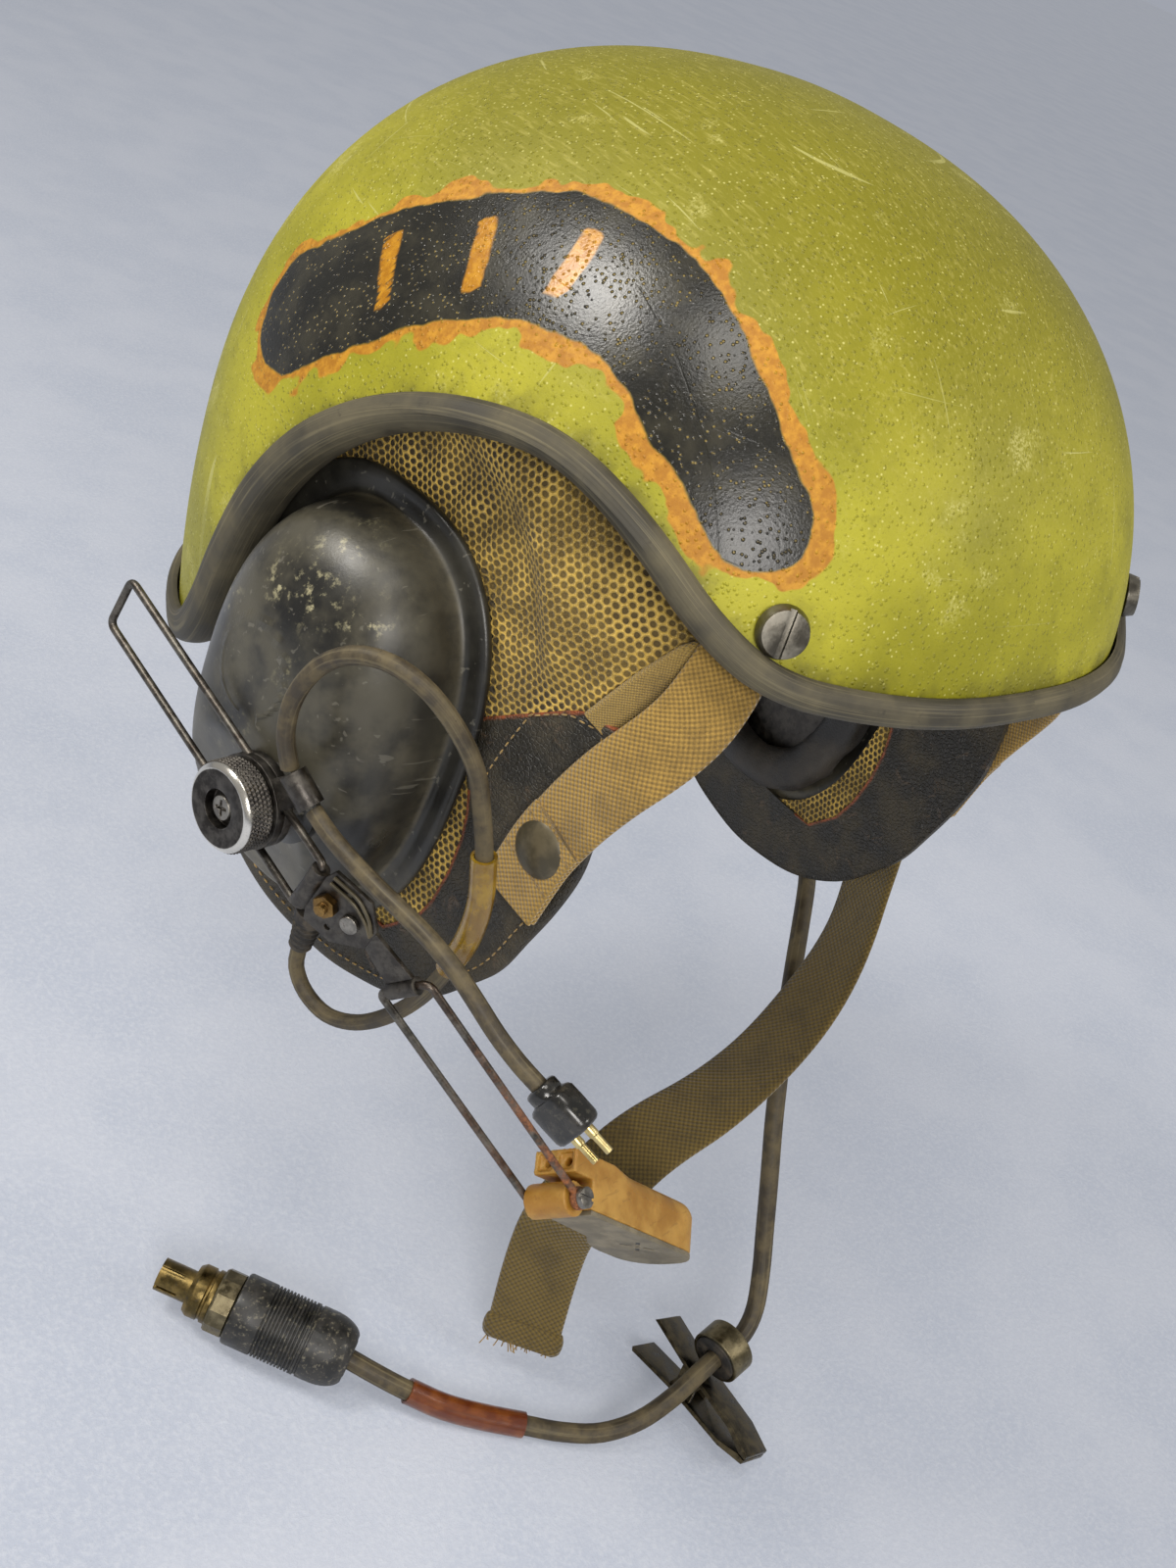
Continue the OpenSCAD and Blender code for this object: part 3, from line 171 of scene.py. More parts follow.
class Finish:
    """A material and short words that wire its nodes.

    Sizes of noise are millimetres. A colour is red, green and blue from 0 to 255, four linear
    numbers or a socket.
    """

    def __init__(self, name, colour, rough=0.6, metal=0.0, slot=None, **sockets):
        self.mat = bpy.data.materials.new(name)
        self.mat.use_nodes = True
        self.tree = self.mat.node_tree
        self.shader = self.tree.nodes["Principled BSDF"]
        self.mat.diffuse_color = self.colour = srgb(*colour)
        self.slot, self.normal = slot, None
        sockets = {"Base_Color": self.colour, "Roughness": rough, "Metallic": metal, **sockets}
        for socket, value in sockets.items():
            self.set(socket.replace("_", " "), value)

    def set(self, socket, value):
        target = self.shader.inputs[socket]
        if isinstance(value, bpy.types.NodeSocket):
            self.tree.links.new(value, target)
        else:
            target.default_value = value

    def add(self, kind, inputs=(), out=0, **settings):
        return add_node(self.tree, "ShaderNode" + kind, inputs, out, **settings)

    def place(self, stretch=(1, 1, 1), turn=(0, 0, 0)):
        """Where a point is in the object, in millimetres."""
        spot = self.add("TexCoord", out="Object")
        return self.add("Mapping", {"Vector": spot, "Scale": [1000 * s for s in stretch], "Rotation": turn})

    def cloth(self, stretch=(1, 1, 1)):
        """Where a point is on the piece's own map."""
        return self.add("Mapping", {"Vector": self.add("UVMap", uv_map="surface"), "Scale": stretch})

    def noise(self, size, detail=3.0, rough=0.55, on=None, distort=0.0):
        return self.add("TexNoise", {"Vector": on or self.place(), "Scale": 1 / size, "Detail": detail,
                                     "Roughness": rough, "Distortion": distort})

    def cells(self, size, feature="F1"):
        inputs = {"Vector": self.place(), "Scale": 1 / size}
        return self.add("TexVoronoi", inputs, out="Distance", feature=feature)

    def lines(self, size, stretch, turn, a, b, distort=0.6):
        """Fine marks that run one way."""
        return self.fade(self.noise(size, 2, 0.5, self.place(stretch, turn), distort), a, b)

    def fade(self, value, a, b, low=0.0, high=1.0):
        return self.add("MapRange", {"Value": value, "From Min": a, "From Max": b, "To Min": low,
                                     "To Max": high}, interpolation_type="SMOOTHSTEP")

    def sums(self, operation, a, b=0.0, c=0.0):
        return self.add("Math", {0: a, 1: b, 2: c}, operation=operation)

    def times(self, a, b):
        return self.sums("MULTIPLY", a, b)

    def rest(self, share, of=1.0):
        """One, less a share."""
        return self.sums("SUBTRACT", 1.0, self.times(share, of))

    def vector(self, operation, a, b=(0, 0, 0), c=(0, 0, 0), out="Vector"):
        return self.add("VectorMath", {0: a, 1: b, 2: c}, out=out, operation=operation)

    def split(self, vector, axis):
        return self.add("SeparateXYZ", {0: vector}, out=axis)

    def value(self, name):
        return self.add("Attribute", out="Fac", attribute_name=name)

    def mix(self, share, *pair):
        a, b = (srgb(*c) if isinstance(c, tuple) and len(c) == 3 else c for c in pair)
        return self.add("Mix", {0: share, 6: a, 7: b}, out=2, data_type="RGBA")

    def ground(self, value, a, b, first, second):
        """Starts the base colour: from first to second as a value goes from a to b."""
        self.colour = first
        self.lay(self.fade(value, a, b), second)

    def lay(self, share, colour):
        """Lays a colour over the base colour as far as share says."""
        self.colour = self.mix(share, self.colour, colour)
        self.set("Base Color", self.colour)

    def over(self, value, a, b, most, colour):
        """Lays a colour over the base colour: from nothing to most as a value goes from a to b."""
        self.lay(self.fade(value, a, b, 0, most), colour)

    def rough(self, value, low, high, extra=None, share=0.0):
        """Roughness that follows a noise, with a share of another value added."""
        base = self.fade(value, 0.3, 0.7, low, high)
        self.set("Roughness", base if extra is None else self.sums("ADD", base, self.times(extra, share)))

    def bump(self, height, depth, strength=1.0):
        inputs = {"Height": height, "Strength": strength, "Distance": depth / 1000}
        if self.normal is not None:
            inputs["Normal"] = self.normal
        self.normal = self.add("Bump", inputs)
        self.set("Normal", self.normal)


def shell_paint():
    f = Finish("olive_sand_paint", (138, 138, 42), 0.62, slot="shell_paint", Specular_IOR_Level=0.42)
    broad, blotch, fine = f.noise(70, 4, 0.6), f.noise(11, 5, 0.62), f.noise(0.7, 3, 0.6)
    fibre = f.noise(1.0, 4, 0.65, f.place((1, 0.14, 1), (0.3, 0.2, 0.5)))
    grains, high = f.cells(1.5), f.split(f.place(), 2)
    f.ground(broad, 0.36, 0.66, (134, 130, 14), (166, 160, 34))
    # Painted shade: the paint is made darker towards the crown, by height.
    f.over(high, 60, 125, 0.85, (108, 103, 4))
    f.over(blotch, 0.5, 0.75, 0.45, (114, 110, 10))
    f.lay(f.times(f.fade(fibre, 0.5, 0.7), f.fade(high, 50, 100, 0.05, 0.34)), (180, 170, 88))
    f.over(fine, 0.42, 0.3, 0.35, (84, 80, 10))
    rub = f.times(f.fade(f.noise(24, 4, 0.65), 0.6, 0.72), f.fade(fine, 0.42, 0.62))
    f.lay(f.times(rub, 0.55), (198, 192, 118))
    f.over(grains, 0.32, 0.18, 0.12, (92, 88, 18))
    f.over(f.cells(1.9), 0.2, 0.08, 0.55, (208, 202, 124))
    scratch, ways = 0.0, (((0.4, 0.9, 0.2), (0.035, 0.035, 1.6)), ((1.2, 0.1, 1.9), (1.4, 0.03, 0.03)),
                          ((0.2, 2.1, 0.9), (0.04, 1.1, 0.04)))
    for k, (turn, stretch) in enumerate(ways):
        scratch = f.sums("MAXIMUM", scratch, f.lines(2.4, stretch, turn, 0.70 + 0.01 * k, 0.73 + 0.01 * k))
    f.lay(f.times(scratch, f.fade(broad, 0.4, 0.6, 0.15, 0.6)), (186, 182, 112))
    f.lay(f.times(f.fade(f.value("edge_wear"), 14, 1, 0, 0.75), f.fade(blotch, 0.35, 0.62)), (58, 56, 22))
    ragged = f.sums("ADD", f.sums("MULTIPLY_ADD", f.noise(3.2, 2, 0.5), 1.0, -0.5),
                    f.sums("MULTIPLY_ADD", f.noise(17, 2, 0.5), 7.0, -3.5))
    line = f.sums("ADD", f.value("band_side"), ragged)
    bars = f.sums("ADD", f.value("bar_side"), f.times(ragged, 0.6))
    wide = f.fade(f.noise(15, 2, 0.5), 0.36, 0.64, 0.9, 6.0)
    orange = f.mix(f.fade(f.noise(2.2, 3, 0.6), 0.35, 0.7), (158, 104, 10), (186, 132, 28))
    worn = f.times(f.fade(grains, 0.24, 0.14), f.fade(blotch, 0.4, 0.55, 0.25, 1))
    edging = f.times(f.fade(f.sums("SUBTRACT", line, wide), 0.35, -0.35), f.fade(line, -0.9, 0.1))
    f.lay(f.times(edging, f.rest(worn, 0.35)), orange)
    black = f.fade(line, 0.2, -0.7)
    paint = f.mix(f.fade(blotch, 0.4, 0.7), (24, 23, 18), (50, 47, 36))
    f.lay(black, f.mix(f.times(worn, 0.7), paint, (142, 122, 62)))
    f.lay(f.times(f.fade(bars, 0.3, -0.6), f.fade(worn, 1, 0, 0.6, 1)), orange)
    f.rough(broad, 0.5, 0.6, black, -0.3)
    f.bump(f.fade(grains, 0.34, 0.06), 0.26, 0.9)
    f.bump(fine, 0.12, 0.6)
    f.bump(scratch, -0.12, 0.5)
    return f


def trim_rubber():
    f = Finish("edge_rubber", (66, 60, 50), 0.72, slot="trim_rubber")
    drawn = f.noise(1.0, 3, 0.6, f.cloth((1.6, 0.02, 1)))
    dust, spot = f.noise(22, 4, 0.6), f.noise(3.2, 4, 0.7)
    f.ground(dust, 0.35, 0.7, (54, 50, 39), (90, 83, 63))
    f.over(drawn, 0.5, 0.7, 0.45, (122, 113, 86))
    f.over(spot, 0.6, 0.75, 0.5, (34, 30, 26))
    f.rough(dust, 0.58, 0.82)
    f.bump(drawn, 0.3, 0.7)
    f.bump(spot, 0.15, 0.4)
    return f


def knit_mesh(pitch=2.2, row_ratio=1.732):
    """Round holes in rows: every other row is half a step aside."""
    f = Finish("hexagon_knit", (122, 104, 62), 0.9, slot="mesh", Sheen_Weight=0.08, Sheen_Roughness=0.5)
    sway = f.add("TexNoise", {"Vector": f.place(), "Scale": 0.25, "Detail": 1}, out="Color")
    spot = f.vector("ADD", f.cloth(), f.vector("MULTIPLY", sway, (1.1, 1.1, 0)))
    low = pitch * row_ratio
    for shift in (0.0, 0.5):
        grid = f.vector("MULTIPLY_ADD", spot, (1 / pitch, 1 / pitch / row_ratio, 0), (shift, shift, 0))
        cell = f.vector("SUBTRACT", f.vector("FRACTION", grid), (0.5, 0.5, 0))
        reach = f.vector("LENGTH", f.vector("MULTIPLY", cell, (pitch, pitch * row_ratio, 0)), out="Value")
        low = f.sums("MINIMUM", low, reach)
    yarn = f.noise(0.35, 2, 0.6)
    f.ground(f.noise(16, 3, 0.6), 0.35, 0.68, (134, 108, 40), (206, 170, 76))
    f.over(yarn, 0.45, 0.7, 0.5, (222, 192, 118))
    # Painted shade: the holes are painted dark for the shade seen through the knit, less dark in broad
    # patches.
    f.lay(f.times(f.fade(low, 0.8, 0.62), f.fade(f.noise(34, 3, 0.6), 0.38, 0.6, 0.78, 1)), (50, 38, 12))
    f.bump(f.fade(low, 0.56, 1.1), 0.6, 1.0)
    f.bump(yarn, 0.12, 0.5)
    return f


def webbing(name, light, dark, rib):
    """Plain weave from the piece's own map: rows across and ends along it."""
    f = Finish(name, light, 0.88, slot="webbing", Sheen_Weight=0.3, Sheen_Roughness=0.5)
    spot = f.cloth()
    rows, ends = (f.sums("SINE", f.times(f.split(spot, axis), FULL_TURN / rib)) for axis in (1, 0))
    weave = f.sums("MULTIPLY_ADD", f.times(rows, ends), 0.5, 0.5)
    fuzz = f.noise(0.4, 2, 0.6)
    f.colour = dark
    f.lay(weave, light)
    f.over(f.noise(14, 4, 0.6), 0.42, 0.7, 0.5, scaled(dark, 0.55))
    f.over(fuzz, 0.5, 0.75, 0.35, scaled(light, 1.5))
    f.bump(weave, 0.35, 0.9)
    f.bump(fuzz, 0.12, 0.5)
    return f


def black_leather():
    f = Finish("black_leather", (46, 42, 38), 0.5, slot="leather")
    crease, wear = f.noise(7, 5, 0.65, None, 0.8), f.noise(18, 4, 0.6)
    f.ground(wear, 0.4, 0.7, (36, 33, 26), (66, 59, 44))
    f.over(crease, 0.58, 0.7, 0.6, (92, 76, 58))
    rub = f.times(f.fade(f.value("edge_wear"), 1.3, 0.3), f.fade(f.noise(2.5, 4, 0.7), 0.35, 0.6, 0.35, 1))
    f.lay(rub, (140, 72, 36))
    f.rough(wear, 0.42, 0.62)
    f.bump(f.fade(f.cells(1.3, "DISTANCE_TO_EDGE"), 0.0, 0.16), 0.22, 0.8)
    f.bump(crease, 0.6, 0.5)
    return f


def soft_black(name):
    f = Finish(name, (38, 36, 33), 0.55, slot="foam")
    dust = f.noise(20, 3, 0.6)
    f.ground(dust, 0.4, 0.7, (30, 28, 26), (60, 55, 48))
    f.rough(dust, 0.45, 0.7)
    f.bump(f.fade(f.cells(1.1, "DISTANCE_TO_EDGE"), 0.0, 0.15), 0.12, 0.5)
    f.bump(f.noise(5, 5, 0.65, None, 0.6), 0.9, 0.5)
    return f


def cup_plastic():
    f = Finish("cup_plastic", (34, 34, 32), 0.42, slot="cup_plastic")
    haze, grit, dusty = f.noise(24, 4, 0.6), f.noise(3.5, 5, 0.7), f.value("dust")
    f.ground(haze, 0.38, 0.68, (26, 25, 22), (50, 48, 41))
    film = f.times(f.value("film"), f.fade(f.noise(17, 4, 0.6), 0.36, 0.62))
    f.lay(f.times(film, 0.28), (118, 112, 92))
    f.lay(f.times(f.times(f.value("scuff"), f.fade(grit, 0.54, 0.68)), 0.85), (186, 178, 140))
    f.lay(f.times(f.lines(2.0, (0.05, 0.9, 0.9), (0.3, 0.8, 0.4), 0.66, 0.7, 0.5), 0.35), (120, 116, 104))
    f.lay(f.times(dusty, f.fade(grit, 0.3, 0.62, 0.35, 1)), (108, 100, 78))
    f.rough(haze, 0.27, 0.42, dusty, 0.3)
    f.bump(f.noise(0.8, 3, 0.6), 0.1, 0.35)
    f.bump(f.value("ring"), 0.5, 0.8)
    return f


def lead_rubber():
    f = Finish("lead_rubber", (88, 74, 58), 0.66, slot="lead")
    drawn = f.noise(1.0, 3, 0.6, f.cloth((0.9, 0.02, 1)))
    patch, dust = f.noise(9, 4, 0.65), f.noise(1.6, 4, 0.7)
    f.ground(patch, 0.38, 0.66, (50, 42, 28), (90, 79, 55))
    f.over(drawn, 0.5, 0.72, 0.4, (128, 117, 88))
    f.over(dust, 0.58, 0.72, 0.6, (40, 30, 22))
    f.rough(patch, 0.5, 0.78)
    f.bump(drawn, 0.18, 0.6)
    f.bump(dust, 0.1, 0.5)
    return f


def amber_sleeve(name, a, b):
    f = Finish(name, a, 0.24, slot="amber", Transmission_Weight=0.55, Coat_Weight=0.4, Coat_Roughness=0.15)
    tone = f.noise(6, 4, 0.6)
    f.ground(tone, 0.38, 0.66, a, b)
    f.over(f.noise(1.0, 3, 0.6, f.cloth((0.7, 0.03, 1))), 0.55, 0.72, 0.5, (90, 52, 16))
    f.bump(tone, 0.35, 0.5)
    return f


def worn_metal(name, a, b, mark, slot="steel", rough=0.38, size=4.0, spots=0.8):
    f = Finish(name, a, rough, 1.0, slot=slot)
    tone, pit = f.noise(size, 5, 0.65), f.noise(size * 0.3, 4, 0.7)
    stain = f.fade(pit, 0.56, 0.72, 0, spots)
    f.ground(tone, 0.38, 0.66, a, b)
    f.lay(stain, mark)
    f.set("Metallic", f.rest(stain, 0.55))
    f.rough(tone, rough - 0.1, rough + 0.14, stain, 0.2)
    f.bump(pit, 0.12, 0.5)
    f.bump(f.noise(0.35, 2, 0.6), 0.03, 0.4)
    return f


def worn_black(name, rough, worn):
    f = Finish(name, (30, 29, 28), rough, slot="cup_plastic")
    haze, dust = f.noise(6, 4, 0.6), f.noise(1.6, 4, 0.7)
    f.ground(haze, 0.38, 0.66, (22, 22, 21), (46, 44, 41))
    f.over(dust, 0.54, 0.68, worn, (124, 118, 100))
    f.rough(haze, rough - 0.08, rough + 0.14)
    f.bump(dust, 0.08, 0.4)
    return f


def nut_steel():
    f = Finish("thumb_nut_steel", (96, 92, 86), 0.36, 1.0, slot="steel")
    polish, tone, pit = f.value("polish"), f.noise(3, 4, 0.65), f.noise(0.9, 4, 0.7)
    f.ground(tone, 0.36, 0.66, (50, 47, 44), (84, 80, 75))
    f.over(f.sums("ADD", polish, f.sums("MULTIPLY_ADD", tone, 0.6, -0.3)), 0.25, 0.75, 1, (206, 202, 194))
    f.over(pit, 0.6, 0.72, 0.5, (44, 38, 32))
    f.set("Roughness", f.fade(polish, 0.2, 0.9, 0.42, 0.2))
    f.bump(pit, 0.06, 0.4)
    return f


def wire_steel():
    f = Finish("boom_wire_steel", (70, 64, 58), 0.42, 1.0, slot="wire")
    tone, pit = f.noise(5, 5, 0.7), f.noise(1.1, 4, 0.7)
    rust = f.times(f.value("rust"), f.fade(f.noise(9, 4, 0.65), 0.34, 0.56))
    f.ground(tone, 0.36, 0.68, (66, 64, 60), (116, 112, 104))
    f.over(pit, 0.56, 0.7, 0.55, (44, 34, 26))
    f.lay(rust, f.mix(f.fade(pit, 0.4, 0.65), (104, 58, 28), (160, 98, 52)))
    f.set("Metallic", f.rest(rust, 0.8))
    f.rough(tone, 0.32, 0.5, rust, 0.3)
    f.bump(pit, 0.08, 0.6)
    return f


def ochre_plastic():
    f = Finish("ochre_plastic", (178, 128, 48), 0.5, slot="ochre", Subsurface_Weight=0.06)
    tone, grime = f.noise(11, 4, 0.6), f.noise(3, 5, 0.7)
    f.ground(tone, 0.36, 0.66, (146, 102, 30), (176, 134, 60))
    f.over(grime, 0.56, 0.76, 0.5, (116, 84, 34))
    f.lay(f.times(f.lines(1.6, (0.08, 0.9, 0.9), (0.5, 0.2, 0.9), 0.65, 0.69), 0.3), (112, 76, 30))
    f.rough(tone, 0.4, 0.6)
    f.bump(f.noise(0.7, 3, 0.6), 0.06, 0.4)
    f.bump(grime, 0.2, 0.3)
    return f


def mottled(name, colour, rough, slot, patch, limits, first, second, grain, **sockets):
    """Two colours in patches: patch is a noise, and grain is a noise with its depth and strength."""
    f = Finish(name, colour, rough, slot=slot, **sockets)
    f.ground(f.noise(*patch), *limits, first, second)
    f.bump(f.noise(*grain[:3]), *grain[3:])
    return f


def thread(name, a, b):
    return mottled(name, a, 0.85, "webbing", (3, 3, 0.6), (0.35, 0.7), a, b, (0.3, 2, 0.6, 0.08, 0.6),
                   Sheen_Weight=0.3)


olive, rim_rubber, knit, leather = shell_paint(), trim_rubber(), knit_mesh(), black_leather()
tan_web = webbing("tan_webbing", (168, 134, 60), (106, 82, 32), 1.6)
dull_web = webbing("dull_webbing", (114, 94, 38), (68, 54, 18), 2.0)
tape = webbing("binding_tape", (160, 132, 64), (112, 90, 40), 0.9)
seal_skin, pad_skin = soft_black("seal_leather"), soft_black("pad_leather")
cup_black, lead, wire = cup_plastic(), lead_rubber(), wire_steel()
ochre, nut_metal = ochre_plastic(), nut_steel()
rubber = mottled("gland_rubber", (36, 33, 30), 0.7, "trim_rubber", (5, 4, 0.65), (0.4, 0.7), (30, 28, 26),
                 (74, 66, 54), (0.7, 3, 0.6, 0.12, 0.5))
snap_enamel = mottled("dark_snap_enamel", (96, 86, 66), 0.4, "steel", (7, 4, 0.6), (0.38, 0.66), (66, 60, 44),
                      (94, 85, 64), (0.6, 3, 0.6, 0.05, 0.4), Metallic=0.3)
face_grey = mottled("mic_face_paint", (126, 116, 98), 0.5, "face", (8, 4, 0.6), (0.38, 0.66), (98, 90, 72),
                    (126, 116, 94), (0.6, 3, 0.6, 0.05, 0.5))
face_grey.over(face_grey.noise(1.6, 4, 0.7), 0.58, 0.72, 0.6, (84, 76, 64))
tan_thread = thread("tan_thread", (128, 102, 50), (160, 130, 74))
dark_thread = thread("dark_thread", (104, 84, 48), (134, 110, 66))
amber = amber_sleeve("amber_sleeve", (150, 112, 12), (190, 154, 38))
red_amber = amber_sleeve("red_amber_sleeve", (122, 54, 18), (160, 88, 34))
plug_black = worn_black("glossy_plug_plastic", 0.2, 0.15)
rib_black = worn_black("ribbed_plug_plastic", 0.42, 0.6)
steel = worn_metal("dull_steel", (112, 108, 102), (150, 146, 138), (62, 54, 46))
dark_steel = worn_metal("dark_steel", (66, 63, 60), (96, 92, 86), (48, 40, 34), "steel", 0.44)
screw_steel = worn_metal("shell_screw_steel", (92, 88, 80), (124, 120, 110), (58, 52, 44), "steel", 0.4, 5,
                         0.3)
brass = worn_metal("tarnished_brass", (112, 86, 48), (150, 120, 72), (66, 50, 32), "brass", 0.4, 5)
pin_brass = worn_metal("pin_brass", (176, 156, 102), (204, 188, 136), (120, 102, 62), "brass", 0.3, 6, 0.3)
plug_brass = worn_metal("dirty_brass", (84, 72, 44), (132, 112, 68), (46, 39, 26), "brass", 0.36, 5, 0.7)
clip_brass = worn_metal("dark_clip_brass", (94, 86, 66), (134, 124, 98), (56, 50, 38), "brass", 0.4, 5)
lever_metal = worn_metal("dark_lever_metal", (66, 60, 48), (104, 94, 72), (40, 36, 28), "brass", 0.36, 4)
body_of = {node: body for body, nodes in frame["record"]["behaviour"]["bodies"].items() for node in nodes}


# Meshes
def settle(piece, body, replaces=()):
    """Ties a piece to its body and hides the solid that it stands for."""
    if body:
        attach(piece, body)
    if replaces:
        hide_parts(replaces)


def make(name, points, faces, finish, body, uvs=None, at=None, replaces=(), sharp=40, values=None):
    """A mesh piece from points in millimetres; its faces are turned outwards by its signed volume."""
    points = np.asarray(points, float) if at is None else put(at, points)
    size = sum(float(np.dot(points[face[0]], np.cross(points[face[k]], points[face[k + 1]])))
               for face in faces for k in range(1, len(face) - 1))
    if size < 0:
        faces, uvs = [face[::-1] for face in faces], uvs and [u[::-1] for u in uvs]
    mesh = bpy.data.meshes.new(name)
    mesh.from_pydata((points / 1000).tolist(), [], faces)
    if uvs is not None:
        layer = mesh.uv_layers.new(name="surface")
        layer.data.foreach_set("uv", np.array([c for u in uvs for c in u], np.float32).ravel())
    for key, numbers in (values or {}).items():
        mesh.attributes.new(key, "FLOAT", "POINT").data.foreach_set("value", np.asarray(numbers, np.float32))
    mesh.materials.append(finish.mat)
    mesh.shade_smooth()
    if sharp:
        mesh.set_sharp_from_angle(angle=math.radians(sharp))
    piece = linked(name, mesh)
    settle(piece, body, replaces)
    return piece


def skin(rings, closed=False, ends=True, across=None, down=None):
    """Faces and their map over rings of equal size, from ring to ring."""
    rings = np.asarray(rings, float)
    r, c = rings.shape[:2]
    across = np.linspace(0, 1, c + 1) if across is None else across
    down = np.arange(r + 1) if down is None else down
    faces, uvs = [], []
    for i in range(r if closed else r - 1):
        n = (i + 1) % r
        for j in range(c):
            k = (j + 1) % c
            faces.append((i * c + j, i * c + k, n * c + k, n * c + j))
            corners = ((j, i), (j + 1, i), (j + 1, i + 1), (j, i + 1))
            uvs.append(tuple((across[a], down[b]) for a, b in corners))
    if not closed and ends:
        for i, order in ((0, range(c - 1, -1, -1)), (r - 1, range(c))):
            faces.append(tuple(i * c + j for j in order))
            uvs.append(tuple((across[j], down[i]) for j in order))
    return rings.reshape(-1, 3), faces, uvs


def run_length(path):
    """How far along the path each of its points is."""
    return np.concatenate([[0], np.cumsum(lengths(np.diff(np.asarray(path, float), axis=0)))])


def round_length(ring):
    return run_length(np.vstack([ring, ring[:1]]))


def smooth(a, b, c, d, t):
    """Point between b and c on the curve through a, b, c and d."""
    bow, pull = 2 * a - 5 * b + 4 * c - d, 3 * b - a - 3 * c + d
    return 0.5 * (2 * b + (c - a) * t + bow * t * t + pull * t ** 3)


def bend(start, corner, end, t):
    return start * (1 - t) ** 2 + corner * 2 * t * (1 - t) + end * t * t


def eased(points, spacing=2.0):
    """Smooth curve through the points, with about one point in each spacing."""
    p = np.asarray(points, float)
    p = np.vstack([2 * p[0] - p[1], p, 2 * p[-1] - p[-2]])
    out = []
    for a, b, c, d in zip(p, p[1:], p[2:], p[3:]):
        n = max(2, int(math.ceil(lengths(c - b) / spacing)))
        out += [smooth(a, b, c, d, t) for t in np.arange(n) / n]
    return np.array(out + [p[-2]])


def spline(knots, steps):
    """Quadratic curve over the knots, with its first and last knot kept."""
    k = np.asarray(knots, float)
    out = [k[0]]
    for a, b, c in zip(k, k[1:], k[2:]):
        out += [bend((a + b) / 2, b, (b + c) / 2, t) for t in np.arange(steps) / steps]
    return np.array(out + [(k[-2] + k[-1]) / 2, k[-1]])


def rounded(points, reach, spacing=3):
    """Path with round corners: reach is how far before a corner the bend starts."""
    p = [np.asarray(q, float) for q in points]
    out = [p[0]]
    for a, b, c in zip(p, p[1:], p[2:]):
        r = min(reach, lengths(b - a) * 0.48, lengths(c - b) * 0.48)
        out += [bend(b + unit(a - b) * r, b, b + unit(c - b) * r, t) for t in np.linspace(0, 1, 9)]
    dense = [out[0]]
    for q in out[1:] + [p[-1]]:
        n, start = max(1, int(lengths(q - dense[-1]) // spacing)), dense[-1]
        dense += [start + (q - start) * k / n for k in range(1, n + 1)]
    return np.array(dense)


def tube_rings(path, radius, sides=14, hint=(0.3, 1, 0.2)):
    """Rings round a path, carried along it without twist."""
    path = np.asarray(path, float)
    ways = unit(np.gradient(path, axis=0))
    u, firsts = np.asarray(hint, float), []
    for d in ways:
        u = unit(u - np.dot(u, d) * d)
        firsts.append(u)
    u, turn = np.array(firsts), circle(sides)
    v = np.cross(ways, u)
    radius = np.broadcast_to(np.asarray(radius, float), (len(path),))[:, None, None]
    return path[:, None] + radius * (u[:, None] * np.cos(turn)[:, None] + v[:, None] * np.sin(turn)[:, None])


def tube(name, path, radius, finish, body, sides=14, at=None, replaces=(), values=None, bore=None):
    path = np.asarray(path, float) if at is None else put(at, path)
    rings, size = tube_rings(path, radius, sides), run_length(path)
    if bore:
        rings = np.concatenate([rings, tube_rings(path, bore, sides)[::-1]])
        size = np.concatenate([size, size[::-1]])
    around = np.linspace(0, FULL_TURN * float(np.max(radius)), sides + 1)
    down = np.append(size, size[0] if bore else size[-1])
    points, faces, uvs = skin(rings, closed=bool(bore), across=around, down=down)
    values = {key: np.repeat(value(path), sides) for key, value in (values or {}).items()}
    return make(name, points, faces, finish, body, uvs, replaces=replaces, values=values, sharp=50)


def strap_rings(path, outs, width, thick, columns=10, wave=None):
    """Rings of a flat strap with rounded edges, how long each runs, and the ways across and out of it."""
    path = np.asarray(path, float)
    t = unit(np.gradient(path, axis=0))
    s = unit(np.cross(t, outs))
    n = np.cross(s, t)
    w, h = width / 2, thick / 2
    flat = np.linspace(-w + h * 0.8, w - h * 0.8, columns)
    side = [(w, h * 0.35), (w, -h * 0.35)]
    section = [(x, h) for x in flat] + side + [(x, -h) for x in flat[::-1]] + [(-x, -y) for x, y in side]
    section = np.array(section)
    rings = path[:, None] + s[:, None] * section[:, 0, None] + n[:, None] * section[:, 1, None]
    if wave is not None:
        rings = rings + n[:, None] * wave(run_length(path), section[:, 0])[:, :, None]
    return rings, round_length(section), s, n


def strap(name, path, outs, width, thick, finish, at=None, replaces=(), wave=None):
    if at is not None:
        path, outs = put(at, path), np.asarray(outs, float) @ at[:3, :3].T
    rings, around, *_ = strap_rings(path, outs, width, thick, wave=wave)
    size = run_length(path)
    points, faces, uvs = skin(rings, across=around, down=np.append(size, size[-1]))
    return make(name, points, faces, finish, "helmet", uvs, replaces=replaces, sharp=60)


